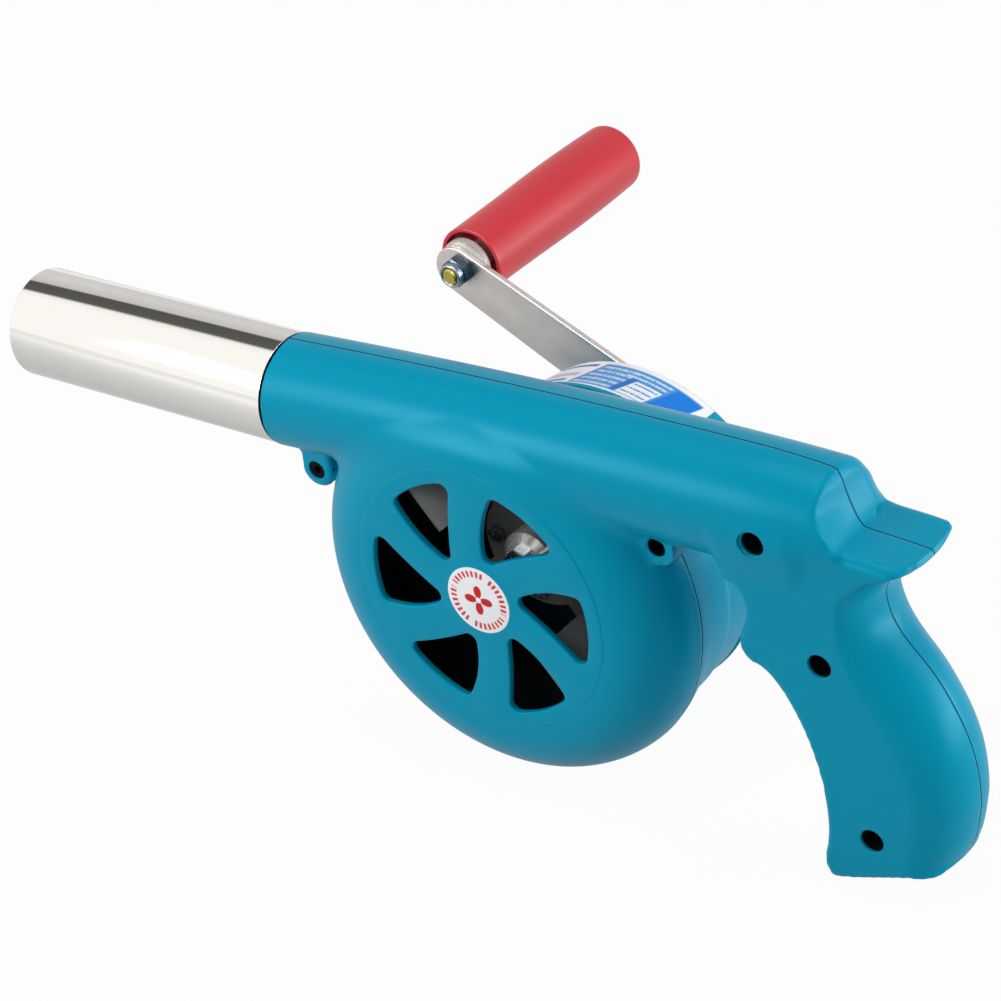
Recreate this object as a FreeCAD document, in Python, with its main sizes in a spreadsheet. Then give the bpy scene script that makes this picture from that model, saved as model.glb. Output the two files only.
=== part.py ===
import FreeCAD, Part
import math
import os
import re
import Sketcher
from FreeCAD import Placement, Rotation, Vector

# Hand crank fan. Origin: centre of the nozzle mouth. +X runs back towards the grip, +Z is up,
# -Y is the intake side, +Y the gearbox and crank side. All sizes in millimetres.

doc = FreeCAD.newDocument("hand_crank_fan")
sheet = doc.addObject("Spreadsheet::Sheet", "Sizes")

sizes = {
    # nozzle tube and the neck of the shells that it slides over
    "tube_radius": 16.0, "tube_wall": 0.6, "tube_seat_wall": 0.4, "tube_reach": 94.7, "tube_seat": 78.0,
    "neck_depth": 16.0, "neck_play": 0.05,
    "neck_wall": 2.0,
    # housing wall and barrel: a slow taper on a rising centre line
    "wall": 2.2, "mouth_x": 95.0, "barrel_front": 16.2, "barrel_back": 16.9, "barrel_rise": 4.4,
    "barrel_rise_x": 240.0, "barrel_taper_x": 252.0, "barrel_end_x": 281.0, "barrel_end": 15.0,
    "bulkhead_x": 236.0,
    # fan axis, volute and gearbox drum
    "fan_x": 166.5, "fan_z": -38.5, "volute_dx": -1.0, "volute_dz": -2.4, "volute_radius": 60.0,
    "volute_depth": 19.2, "volute_round": 20.4, "drum_x": 177.5, "drum_z": -40.9, "drum_radius": 47.8,
    "drum_depth": 25.0, "drum_step": 0.6, "drum_step_y": 13.4,
    # intake grille: each slot has a tip near the hub and two outer corners
    "slot_count": 6, "slot_turn": 57.5, "slot_tip": 11.75, "slot_tip_turn": 15.8, "slot_reach": 35.6,
    "slot_left_turn": 18.7, "slot_right_turn": 19.0, "slot_left_bulge": 2.2, "slot_right_bulge": 0.7,
    "slot_corner": 2.4, "groove_radius": 40.6, "groove_width": 0.8, "groove_cut": 0.4,
    "label_radius": 10.25, "label_thick": 0.25, "sticker_from": 52.0, "sticker_to": 122.0,
    "sticker_y": 27.5, "sticker_end_y": 45.6, "sticker_thick": 0.2,
    # grip and thumb rest
    "grip_half": 15.0, "grip_wall": 3.4, "grip_back_round": 12.5, "thumb_half": 14.5,
    "thumb_tip_x": 298.5, "thumb_corner": 4.0,
    # housing screws, their recesses and posts
    "screw_radius": 1.45, "screw_head": 2.5, "screw_head_depth": 2.2, "screw_length": 8.0,
    "screw_seat": 3.2, "recess": 3.38, "post": 5.2, "lug_recess": 2.75, "lug": 5.3,
    "front_lug_half": 6.0, "rear_lug_half": 9.0,
    # gearbox cover with the crank boss
    "cover_y": 25.4, "cover_root": 46.8, "cover_end": 43.5, "cover_back_y": 47.7, "cover_round": 1.8,
    "spigot": 45.5, "spigot_y": 22.0, "boss_root": 14.5, "boss_tip": 9.5, "boss_y": 58.0,
    "cover_screw_ring": 37.0, "cover_screw": 1.5, "cover_post": 3.5,
    # gear train
    "module": 1.0, "addendum": 0.9, "dedendum": 1.25, "tooth_play": 0.2, "drive_teeth": 48,
    "idler_pinion_teeth": 12, "idler_teeth": 40, "fan_pinion_teeth": 10, "idler_y": 23.0, "drive_y": 32.0,
    "gear_width": 6.0, "gear_hub": 8.0,
    # crank axis and idler axis
    "crank_x": 182.0, "crank_z": -29.3, "axle_x": 180.431, "axle_z": -59.259,
    # gear frame
    "frame_y": 19.4, "frame_rear_y": 41.0, "frame_thick": 1.5, "pillar": 2.5, "frame_screw": 1.5,
    # shafts and plain bearings
    "crank_shaft": 4.0, "crank_collar": 7.0, "fan_shaft": 2.5, "axle": 2.0, "bush_wall": 2.0, "play": 0.03,
    # impeller
    "blade_count": 4, "blade_turn": 129.2, "blade_root": 21.0, "blade_reach": 46.0, "blade_y": -15.0,
    "wheel_y": 9.4, "wheel_sheet": 1.2, "wheel_disc": 18.0, "spoke": 9.0, "rivet_ring": 14.0,
    "fan_hub": 8.0, "fan_flange": 17.0, "fan_hub_y": 2.0,
    # crank arm and handle
    "arm_y": 63.4, "arm_thick": 2.0, "arm_tip": 7.1, "arm_hub": 8.9, "arm_tip_off": 2.1, "arm_hub_off": 0.4,
    "arm_end": 1.4, "handle_x": 107.0, "handle_z": 9.48, "handle_y": 67.9, "handle_length": 73.9,
    "handle_radius": 10.4, "handle_swell": 10.95, "handle_swell_y": 112.0, "handle_tip": 10.45,
    "handle_mouth": 9.1, "handle_mouth_depth": 9.0, "handle_round": 2.0, "spindle": 2.45,
    "handle_play": 0.1, "plug": 7.0, "plug_depth": 3.0,
}
for row, (alias, number) in enumerate(sizes.items(), start=1):
    sheet.set("A%d" % row, alias)
    sheet.set("B%d" % row, repr(number))
    sheet.setAlias("B%d" % row, alias)
doc.recompute()


def size(name):
    return float(getattr(sheet, name))


def cell(words):
    # "wall + 2" becomes "Sizes.wall + 2"
    words = str(words)
    return re.sub(r"[a-z]\w*", lambda word: ("Sizes." if word.group() in sizes else "") + word.group(), words)


def amount(words):
    return float(sheet.evalExpression(str(words)))


def bind(thing, prop, words):
    thing.setExpression(prop, cell(words))


def body(name, x="0", y="0", z="0", turn=0):
    part = doc.addObject("PartDesign::Body", name)
    part.Label = name
    part.Placement = Placement(Vector(), Rotation(Vector(0, 1, 0), turn))
    for axis, words in zip("xyz", (x, y, z)):
        bind(part, "Placement.Base." + axis, words)
    return part


def sketch_on(part, role, shift=("0", "0", "0")):
    sketch = part.newObject("Sketcher::SketchObject", part.Name + "_outline")
    plane = [item for item in part.Origin.OriginFeatures if item.Role == role][0]
    sketch.AttachmentSupport = [(plane, "")]
    sketch.MapMode = "FlatFace"
    for axis, words in zip("xyz", shift):
        if words != "0":
            bind(sketch, "AttachmentOffset.Base." + axis, words)
    return sketch


def hold(sketch, kind, geometry, point, words):
    rule = sketch.addConstraint(Sketcher.Constraint(kind, -1, 1, geometry, point, amount(words)))
    bind(sketch, "Constraints[%d]" % rule, words)


def add_loop(sketch, corners):
    # corners are pairs of expressions, joined by straight lines
    first = sketch.GeometryCount
    spots = [Vector(amount(u), amount(v), 0) for u, v in corners]
    count = len(spots)
    for i in range(count):
        sketch.addGeometry(Part.LineSegment(spots[i], spots[(i + 1) % count]))
    for i in range(count):
        after = first + (i + 1) % count
        sketch.addConstraint(Sketcher.Constraint("Coincident", first + i, 2, after, 1))
    for i, (u, v) in enumerate(corners):
        hold(sketch, "DistanceX", first + i, 1, u)
        hold(sketch, "DistanceY", first + i, 1, v)


def add_circle(sketch, radius, u="0", v="0"):
    ring = sketch.addGeometry(Part.Circle(Vector(amount(u), amount(v), 0), Vector(0, 0, 1), amount(radius)))
    hold(sketch, "DistanceX", ring, 3, u)
    hold(sketch, "DistanceY", ring, 3, v)
    rule = sketch.addConstraint(Sketcher.Constraint("Radius", ring, amount(radius)))
    bind(sketch, "Constraints[%d]" % rule, radius)


def turn(part, corners, kind="Revolution", shift=("0", "0", "0")):
    # corners are (radius, y) about the part's own Y axis
    sketch = sketch_on(part, "XY_Plane", shift)
    add_loop(sketch, corners)
    feature = part.newObject("PartDesign::" + kind, part.Name + "_turned")
    feature.Profile = sketch
    feature.ReferenceAxis = (sketch, ["V_Axis"])
    feature.Angle = 360
    doc.recompute()
    return feature


def plate(part, thick, loops=(), circles=(), start="0", kind="Pad"):
    # a slab from y = start to start + thick, drawn in the part's own XZ plane
    sketch = sketch_on(part, "XZ_Plane", ("0", "0", "-(%s)" % start if start != "0" else "0"))
    for corners in loops:
        add_loop(sketch, corners)
    for ring in circles:
        add_circle(sketch, *ring)
    feature = part.newObject("PartDesign::" + kind, part.Name + "_plate")
    feature.Profile = sketch
    bind(feature, "Length", thick)
    feature.Reversed = kind == "Pad"
    doc.recompute()
    return feature


def around(part, feature, occurrences):
    # repeat a feature about the part's own Y axis
    pattern = part.newObject("PartDesign::PolarPattern", part.Name + "_ring")
    axis = [item for item in part.Origin.OriginFeatures if item.Role == "Y_Axis"][0]
    pattern.Originals = [feature]
    pattern.Axis = (axis, [""])
    pattern.Angle = 360
    bind(pattern, "Occurrences", occurrences)
    part.Tip = pattern
    doc.recompute()
    return pattern


def peg(radius, x, y, z, length, name="peg"):
    # a round bar along +Y
    bar = doc.addObject("Part::Cylinder", name)
    bar.Placement = Placement(Vector(), Rotation(Vector(1, 0, 0), -90))
    bind(bar, "Radius", radius)
    bind(bar, "Height", length)
    for axis, words in zip("xyz", (x, y, z)):
        bind(bar, "Placement.Base." + axis, words)
    return bar


def nut(across, x, y, z, length, turn_by=0.0):
    block = doc.addObject("Part::Prism", "hexagon")
    block.Polygon = 6
    block.Placement = Placement(Vector(), Rotation(Vector(1, 0, 0), -90) * Rotation(Vector(0, 0, 1), turn_by))
    bind(block, "Circumradius", "(%s) / 2 / cos(30)" % across)
    bind(block, "Height", length)
    for axis, words in zip("xyz", (x, y, z)):
        bind(block, "Placement.Base." + axis, words)
    return block


def cut(base, tool):
    result = doc.addObject("Part::Cut", "cut")
    result.Base = base
    result.Tool = tool
    return result


def join(pieces):
    result = doc.addObject("Part::MultiFuse", "joined")
    result.Shapes = pieces
    return result


def group(name, pieces):
    bunch = doc.addObject("Part::Compound", name)
    bunch.Links = pieces
    bunch.Label = name
    return bunch


def from_shape(name, shape):
    part = doc.addObject("Part::Feature", name)
    part.Shape = shape
    part.Label = name
    return part


def spot(x, z, y=0.0):
    # a point from its place in the side view
    return Vector(x, y, z)


def bar_y(radius, x, z, y0, y1):
    return Part.makeCylinder(radius, y1 - y0, Vector(x, y0, z), Vector(0, 1, 0))


def block_y(points, y0, y1):
    # a prism along Y from (x, z) points
    wire = Part.makePolygon([spot(x, z, y0) for x, z in points + points[:1]])
    return Part.Face(wire).extrude(Vector(0, y1 - y0, 0))


# housing, both halves in one
wall = size("wall")
fanX, fanZ = size("fan_x"), size("fan_z")
drumX, drumZ = size("drum_x"), size("drum_z")
crankX, crankZ = size("crank_x"), size("crank_z")


def volute(inset):
    # a drum with a large edge round on both faces; the round's centre lies a little past the seam
    deep = size("volute_depth") - inset
    bend = size("volute_round") - inset
    flat = size("volute_radius") - size("volute_round")
    past = bend - deep
    x, z = fanX + size("volute_dx"), fanZ + size("volute_dz")
    rim = flat + math.sqrt(bend ** 2 - past ** 2)
    half = math.radians(45)
    pieces = []
    for side in (-1, 1):
        edge = spot(flat, 0, side * deep)
        mid = spot(flat + bend * math.sin(half), 0, side * (bend * math.cos(half) - past))
        seam = spot(rim, 0, 0)
        lines = [
            Part.LineSegment(spot(0, 0, 0), spot(0, 0, side * deep)).toShape(),
            Part.LineSegment(spot(0, 0, side * deep), edge).toShape(),
            Part.Arc(edge, mid, seam).toShape(),
            Part.LineSegment(seam, spot(0, 0, 0)).toShape(),
        ]
        half_turned = Part.Face(Part.Wire(lines)).revolve(Vector(), Vector(0, 1, 0), 360)
        half_turned.translate(Vector(x, 0, z))
        pieces.append(half_turned)
    return pieces[0].fuse(pieces[1])


def barrel(inset, x0, x1):
    # round sections on a centre line that rises as a parabola: z = rise (1 - (1 - t)^2)
    mouth, top = size("mouth_x"), size("barrel_rise_x")
    taper, end = size("barrel_taper_x"), size("barrel_end_x")
    rings = []
    for x in (mouth, mouth + 30, mouth + 65, mouth + 105, top, taper, taper + 12, taper + 22, end):
        t = min(1.0, (x - mouth) / (top - mouth))
        grown = size("barrel_front") + (size("barrel_back") - size("barrel_front")) * t
        shrink = max(0.0, (x - taper) / (end - taper))
        radius = grown - (size("barrel_back") - size("barrel_end")) * shrink ** 1.5 - inset
        centre = size("barrel_rise") * (1 - (1 - t) ** 2)
        ring = Part.makeCircle(radius, Vector(x, 0, centre), Vector(1, 0, 0))
        rings.append(Part.Wire([ring]))
    solid = Part.makeLoft(rings, True, False)
    span = Part.makeBox(x1 - x0, 60, 60, Vector(x0, -30, -26))
    return solid.common(span)


def grip():
    front = [(244, -12.2), (248.3, -13.4), (250.6, -17.3), (250.8, -22), (248.5, -28.8), (248.8, -32.6),
             (250.8, -35.3), (255.6, -37.0), (261.4, -44.0), (266.9, -55.4), (270.4, -69.0), (271.1, -82.6),
             (269.6, -91.6)]
    back = [(307.3, -80.0), (308.6, -69), (307.8, -57.3), (304.4, -46.6), (295.7, -35.4), (286.4, -24),
            (283.5, -11.3)]
    toe = (275.6, -98.0)
    sole = (294.8, -91.5)
    curve1 = Part.BSplineCurve()
    curve1.interpolate([spot(x, z) for x, z in front])
    curve2 = Part.BSplineCurve()
    curve2.interpolate([spot(x, z) for x, z in back])
    foot = Part.Arc(spot(*front[-1]), spot(270.6, -96.1), spot(*toe))
    heel = Part.Arc(spot(*sole), spot(303.6, -87.6), spot(*back[0]))
    lines = [
        curve1.toShape(), foot.toShape(),
        Part.LineSegment(spot(*toe), spot(*sole)).toShape(), heel.toShape(),
        curve2.toShape(), Part.LineSegment(spot(*back[-1]), spot(283.5, 0)).toShape(),
        Part.LineSegment(spot(283.5, 0), spot(256, 0)).toShape(),
        Part.LineSegment(spot(256, 0), spot(*front[0])).toShape(),
    ]
    half = size("grip_half")
    slab = Part.Face(Part.Wire(lines)).extrude(Vector(0, 2 * half, 0))
    slab.translate(Vector(0, -half, 0))
    backEdges = []
    for edge in slab.Edges:
        box = edge.BoundBox
        if box.YLength < 0.01 and box.Center.x > 282 and -92 < box.ZMax < -1:
            backEdges.append(edge)
    return slab.makeFillet(size("grip_back_round"), backEdges)


def grip_cavity():
    half = size("grip_half") - size("grip_wall")
    front = [(262, -6), (254, -15.5), (255.5, -29), (262, -38), (268.5, -46), (274.5, -60), (277, -72),
             (277, -90)]
    back = [(292, -86), (300, -76), (301.5, -64), (297, -51), (288, -41.5), (279.5, -31), (275.5, -20),
            (275.5, -6)]
    return block_y(front + back, -half, half)


def thumb_rest():
    tip = size("thumb_tip_x")
    half = size("thumb_half")
    side = block_y([(266, 4.5), (278.3, 4.5), (tip, 3.4), (tip, 1.3), (294, -1.2), (288.5, -5.6),
                    (285, -11.3), (281, -20), (266, -20)], -half, half)
    corner = size("thumb_corner")
    ends = [Vector(264, -half, -30), Vector(tip - 6.5, -half, -30), Vector(tip - 2.4, 4 - half, -30)]
    mirror = [Vector(p.x, -p.y, p.z) for p in reversed(ends)]
    lines = [
        Part.LineSegment(ends[0], ends[1]).toShape(),
        Part.Arc(ends[1], Vector(tip - 3.4, 1.1 - half, -30), ends[2]).toShape(),
        Part.Arc(ends[2], Vector(tip, 0, -30), mirror[0]).toShape(),
        Part.Arc(mirror[0], Vector(tip - 3.4, half - 1.1, -30), mirror[1]).toShape(),
        Part.LineSegment(mirror[1], mirror[2]).toShape(),
        Part.LineSegment(mirror[2], ends[0]).toShape(),
    ]
    plan = Part.Face(Part.Wire(lines)).extrude(Vector(0, 0, 60))
    return side.common(plan)


def slot(k):
    # one swirl opening: an outer arc, two bowed sides and three rounded corners
    middle = math.radians(size("slot_turn") + 360 / size("slot_count") * k)

    def at(radius, turned):
        angle = middle + math.radians(turned)
        return spot(fanX + radius * math.cos(angle), fanZ + radius * math.sin(angle), -30)

    def bowed(a, b, rise):
        chord = b - a
        across = Vector(chord.z, 0, -chord.x).normalize()
        return Part.Arc(a, (a + b) * 0.5 + across * rise, b).toShape()

    reach = size("slot_reach")
    tip = at(size("slot_tip"), size("slot_tip_turn"))
    left = at(reach, size("slot_left_turn"))
    right = at(reach, -size("slot_right_turn"))
    lines = [
        bowed(tip, left, -size("slot_left_bulge")),
        Part.Arc(left, at(reach, 0), right).toShape(),
        bowed(right, tip, size("slot_right_bulge")),
    ]
    prism = Part.Face(Part.Wire(lines)).extrude(Vector(0, 20, 0))
    corners = [edge for edge in prism.Edges if edge.BoundBox.YLength > 19]
    return prism.makeFillet(size("slot_corner"), corners)


mouthX = size("mouth_x")
neckX = mouthX - size("neck_depth")
neckRadius = size("tube_radius") - size("tube_seat_wall") - size("neck_play")
bulkheadX = size("bulkhead_x")
voluteDepth = size("volute_depth")
stepY = size("drum_step_y")
frontLug = (102.7, -21.4)
rearLug = (220.0, -12.8)
gripScrews = [(255.5, 2.5), (271.8, -30.7), (283.9, -81.9)]
coverScrewTurns = (155, 205, 357)
coverScrews = []
for degrees in coverScrewTurns:
    a = math.radians(degrees)
    ring = size("cover_screw_ring")
    coverScrews.append((drumX + ring * math.cos(a), drumZ + ring * math.sin(a)))
pillars = [(153.0, -22.0), (153.0, -62.0), (206.0, -62.0), (209.5, -20.5)]

barrelBody = barrel(0, mouthX, size("barrel_end_x"))
# the back of the barrel is scooped out straight across, down to the thumb rest
scoop = block_y([(267.4, 40), (267.4, 20.2), (271.1, 19.9), (272.5, 18), (274.2, 12.3), (275.8, 7.4),
                 (278.3, 4.5), (300, 4.5), (300, 40)], -30, 30)
barrelBody = barrelBody.cut(scoop)
drum = bar_y(size("drum_radius"), drumX, drumZ, 0, stepY)
drum = drum.fuse(bar_y(size("drum_radius") - size("drum_step"), drumX, drumZ, stepY, size("drum_depth")))
lugHalf = size("front_lug_half")
lugs = bar_y(size("lug"), *frontLug, -lugHalf, lugHalf)
webX, webZ = frontLug
web = [(webX - 5.2, -10), (webX + 5.2, -10), (webX + 5.2, webZ), (webX - 5.2, webZ)]
lugs = lugs.fuse(block_y(web, -lugHalf, lugHalf))
lugs = lugs.fuse(bar_y(size("lug"), *rearLug, -size("rear_lug_half"), size("rear_lug_half")))
neck = Part.makeCylinder(neckRadius, size("neck_depth") + 6, Vector(neckX, 0, 0), Vector(1, 0, 0))
outside = volute(0).fuse([drum, barrelBody, grip(), thumb_rest(), lugs, neck])

bore = Part.makeCylinder(neckRadius - size("neck_wall"), 40, Vector(neckX - 1, 0, 0), Vector(1, 0, 0))
air = volute(wall).fuse([barrel(wall, mouthX + 1, bulkheadX), bore])
handle = barrel(wall, bulkheadX + wall, 265).fuse(grip_cavity())
gearRoom = bar_y(size("drum_radius") - wall, drumX, drumZ, 3, 40)
gearRoom = gearRoom.cut(volute(0).fuse(barrel(0, mouthX, size("barrel_end_x"))))
hollow = outside.cut(air.fuse([handle, gearRoom]))

screwPosts = []
for x, z in gripScrews + [frontLug, rearLug]:
    screwPosts.append(bar_y(size("post"), x, z, -25, 25))
screwPosts = screwPosts[0].fuse(screwPosts[1:]).common(outside)
coverPosts = []
for x, z in coverScrews:
    coverPosts.append(bar_y(size("cover_post"), x, z, 14, size("cover_back_y") - wall))
framePosts = []
for x, z in pillars:
    framePosts.append(bar_y(4.0, x, z, 13, size("frame_y")))
solid = hollow.fuse([screwPosts] + coverPosts + framePosts)

nearSide = Part.makeBox(400, 60, 400, Vector(0, -60, -200))
farSide = Part.makeBox(400, 120, 400, Vector(0, 0, -200))

tools = [slot(k) for k in range(int(size("slot_count")))]
groove = size("groove_radius")
ringTool = bar_y(groove + size("groove_width") / 2, fanX, fanZ, -30, size("groove_cut") - voluteDepth)
tools.append(ringTool.cut(bar_y(groove - size("groove_width") / 2, fanX, fanZ, -31, 0)))
seat = -size("screw_seat")
for x, z in gripScrews:
    tools.append(bar_y(size("recess"), x, z, -30, seat))
for x, z in (frontLug, rearLug):
    tools.append(bar_y(size("lug_recess"), x, z, -30, seat))
for x, z in gripScrews + [frontLug, rearLug]:
    tools.append(bar_y(size("screw_radius") + 0.2, x, z, -10, 1))
from_shape("intake_shell", solid.common(nearSide).cut(tools[0].fuse(tools[1:])))

holes = []
for x, z in gripScrews + [frontLug, rearLug]:
    holes.append(bar_y(size("screw_radius"), x, z, -1, size("screw_length") + seat + 0.3))
for x, z in coverScrews:
    holes.append(bar_y(size("cover_screw"), x, z, 32, 60))
for x, z in pillars:
    holes.append(bar_y(size("frame_screw"), x, z, 13.4, 30))
holes.append(bar_y(size("fan_shaft") + size("bush_wall"), fanX, fanZ, 10, 30))
from_shape("gear_shell", solid.common(farSide).cut(holes[0].fuse(holes[1:])))

# nozzle tube, along X
tube = doc.addObject("PartDesign::Body", "nozzle_tube")
tube.Label = "nozzle_tube"
section = sketch_on(tube, "XY_Plane")
add_loop(section, [("0", "tube_radius - tube_wall"), ("tube_seat", "tube_radius - tube_wall"),
                   ("tube_seat", "tube_radius - tube_seat_wall"),
                   ("tube_reach", "tube_radius - tube_seat_wall"),
                   ("tube_reach", "tube_radius"), ("0", "tube_radius")])
spun = tube.newObject("PartDesign::Revolution", "nozzle_turned")
spun.Profile = section
spun.ReferenceAxis = (section, ["H_Axis"])
spun.Angle = 360
bind(tube, "Placement.Base.x", "0")

# label and sticker
group("intake_label", [peg("label_radius", "fan_x", "-(volute_depth + label_thick)", "fan_z", "label_thick")])


def sticker():
    # a patch on the cover's tapered wall
    rise = size("cover_back_y") - size("cover_round") - size("cover_y")
    slope = (size("cover_end") - size("cover_root")) / rise
    y0, y1 = size("sticker_y"), size("sticker_end_y")
    r0 = size("cover_root") + slope * (y0 - size("cover_y"))
    r1 = size("cover_root") + slope * (y1 - size("cover_y"))
    thick = size("sticker_thick")
    start = math.radians(size("sticker_from"))
    points = []
    for r, y in ((r0, y0), (r1, y1), (r1 + thick, y1), (r0 + thick, y0)):
        points.append(Vector(drumX + r * math.cos(start), y, drumZ + r * math.sin(start)))
    face = Part.Face(Part.makePolygon(points + points[:1]))
    return face.revolve(Vector(drumX, 0, drumZ), Vector(0, -1, 0), size("sticker_to") - size("sticker_from"))


from_shape("drum_sticker", sticker())

# gearbox cover with the crank boss
cover = body("gearbox_cover", "drum_x", "0", "drum_z")
turn(cover, [
    ("0", "cover_back_y"), ("cover_end - cover_round", "cover_back_y"),
    ("cover_end - cover_round * 0.3", "cover_back_y - cover_round * 0.3"),
    ("cover_end", "cover_back_y - cover_round"),
    ("cover_root", "cover_y"), ("spigot", "cover_y"), ("spigot", "spigot_y"), ("spigot - 1.9", "spigot_y"),
    ("spigot - 1.9", "cover_y + 2"), ("cover_end - wall", "cover_back_y - cover_round"),
    ("cover_end - cover_round - 0.6", "cover_back_y - wall"), ("0", "cover_back_y - wall"),
])
toCrank = ("crank_x - drum_x", "0", "crank_z - drum_z")
turn(cover, [("0", "cover_back_y - wall"), ("boss_root + 1", "cover_back_y - wall"),
             ("boss_root", "cover_back_y + 1"), ("boss_tip + 1.5", "boss_y - 2.5"), ("boss_tip", "boss_y"),
             ("0", "boss_y")], "Revolution", toCrank)
turn(cover, [("0", "cover_back_y - 10"), ("crank_shaft + 0.3", "cover_back_y - 10"),
             ("crank_shaft + 0.3", "boss_y + 5"), ("0", "boss_y + 5")], "Groove", toCrank)
for degrees in coverScrewTurns:
    u = "cover_screw_ring * cos(%d)" % degrees
    v = "cover_screw_ring * sin(%d)" % degrees
    turn(cover, [("0", "40"), ("cover_screw + 0.2", "40"), ("cover_screw + 0.2", "60"), ("0", "60")],
         "Groove", (u, "0", v))


def screw(head, head_depth, shank, x, z, seat_y, length, side):
    # side -1: the head faces -Y and the shank runs to +Y; side +1 the other way round
    head_y = "%s - %s" % (seat_y, head_depth) if side < 0 else seat_y
    shank_y = seat_y if side < 0 else "%s - %s" % (seat_y, length)
    top = peg(head, x, head_y, z, head_depth)
    leg = peg(shank, x, shank_y, z, length)
    socket_y = "%s - 1" % head_y if side < 0 else "%s + %s - 1" % (head_y, head_depth)
    socket = nut("%s * 0.9" % head, x, socket_y, z, "2")
    return cut(join([top, leg]), socket)


housing = []
for x, z in gripScrews + [frontLug, rearLug]:
    housing.append(screw("screw_head", "screw_head_depth", "screw_radius", x, z, "-screw_seat",
                         "screw_length", -1))
group("housing_screws", housing)

closing = []
for degrees in coverScrewTurns:
    x = "drum_x + cover_screw_ring * cos(%d)" % degrees
    z = "drum_z + cover_screw_ring * sin(%d)" % degrees
    closing.append(screw("3", "2", "cover_screw", x, z, "cover_back_y", "14", 1))
group("cover_screws", closing)

framing = []
for x, z in pillars:
    framing.append(screw("2.8", "2", "frame_screw", x, z, "frame_rear_y + frame_thick", "28", 1))
group("frame_screws", framing)

spacers = []
for x, z in pillars:
    leg = peg("pillar", x, "frame_y + frame_thick", z, "frame_rear_y - frame_y - frame_thick")
    spacers.append(cut(leg, peg("frame_screw", x, "frame_y", z, "frame_rear_y")))
group("frame_pillars", spacers)

# gear frame plates, bushes and the idler axle
frameEdge = [("148.5", "-16"), ("148.5", "-67"), ("210", "-66"), ("210", "-37"), ("213.5", "-31"),
             ("213.5", "-21"), ("209", "-16")]
pillarHoles = [("frame_screw", str(x), str(z)) for x, z in pillars]
crankHole = ("crank_shaft + bush_wall", "crank_x", "crank_z")
fanHole = ("fan_shaft + bush_wall", "fan_x", "fan_z")
axleHole = ("axle", "axle_x", "axle_z")
front = body("gear_frame_front", "0", "frame_y", "0")
plate(front, "frame_thick", [frameEdge], pillarHoles + [crankHole, fanHole, axleHole])
rear = body("gear_frame_rear", "0", "frame_rear_y", "0")
plate(rear, "frame_thick", [frameEdge], pillarHoles + [crankHole, axleHole])

bushes = []
for y, length in (("frame_y", "frame_thick + 2"), ("frame_rear_y - 1.5", "frame_thick + 1.5")):
    sleeve = peg("crank_shaft + bush_wall", "crank_x", y, "crank_z", length)
    bushes.append(cut(sleeve, peg("crank_shaft + play", "crank_x", "frame_y - 1", "crank_z", "40")))
group("crank_bushes", bushes)

fanBush = body("impeller_bush", "fan_x", "0", "fan_z")
turn(fanBush, [("fan_shaft + play", "wheel_y + 2.7"), ("fan_shaft + bush_wall", "wheel_y + 2.7"),
               ("fan_shaft + bush_wall", "idler_y - 1.2"), ("fan_shaft + play", "idler_y - 1.2")])

axle = body("idler_axle", "axle_x", "0", "axle_z")
turn(axle, [("0", "frame_y"), ("axle", "frame_y"), ("axle", "frame_rear_y + frame_thick + 0.8"),
            ("axle - 0.6", "frame_rear_y + frame_thick + 1.4"), ("0", "frame_rear_y + frame_thick + 1.4")])
rings = []
for y in ("frame_y + frame_thick", "drive_y + gear_width + 1.2"):
    ring = peg("axle + 2", "axle_x", y, "axle_z", "1.8")
    rings.append(cut(ring, peg("axle", "axle_x", "frame_y", "axle_z", "40")))
group("idler_clips", rings)


def gear(name, x, z, y, width, teeth, toward, tooth_there, hub, hub_y, hub_end_y, bore):
    # a disc with one involute gap cut out and repeated; toward is the direction of the mating gear
    count = int(size(teeth))
    module = size("module")
    pitch = module * count / 2
    base = pitch * math.cos(math.radians(20))
    root = pitch - size("dedendum") * module
    outer = pitch + size("addendum") * module
    half = (math.pi * module / 2 - size("tooth_play")) / 2 / pitch

    def inv(angle):
        return math.tan(angle) - angle

    def flank(radius):
        # half the gap's angle at this radius
        turned = inv(math.acos(min(1.0, base / radius)))
        return math.pi / count - (half + inv(math.radians(20)) - turned)

    low = max(base, root + 0.05)
    steps = [low + (outer - low) * k / 3 for k in range(4)]
    side = [(root, flank(low))] + [(r, flank(r)) for r in steps] + [(outer + 0.6, flank(outer))]
    first = toward + (math.pi / count if tooth_there else 0.0)
    points = [(r, first + a) for r, a in side] + [(r, first - a) for r, a in reversed(side)]
    part = body(name, x, y, z)
    blank = plate(part, width, [], [(("module * %s / 2 + addendum * module") % teeth, "0", "0")])
    outline = sketch_on(part, "XZ_Plane")
    corners = [Vector(r * math.cos(a), r * math.sin(a), 0) for r, a in points]
    for i, corner in enumerate(corners):
        outline.addGeometry(Part.LineSegment(corner, corners[(i + 1) % len(corners)]))
    for i in range(len(corners)):
        outline.addConstraint(Sketcher.Constraint("Coincident", i, 2, (i + 1) % len(corners), 1))
        outline.addConstraint(Sketcher.Constraint("Block", i))
    gap = part.newObject("PartDesign::Pocket", name + "_gap")
    gap.Profile = outline
    bind(gap, "Length", "(%s) * 2" % width)
    gap.Midplane = True
    doc.recompute()
    around(part, gap, teeth)
    if hub != "0":
        turn(part, [("0", hub_y), (hub, hub_y), (hub, hub_end_y), ("0", hub_end_y)])
    turn(part, [("0", "-30"), (bore, "-30"), (bore, "50"), ("0", "50")], "Groove")
    return part


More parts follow.
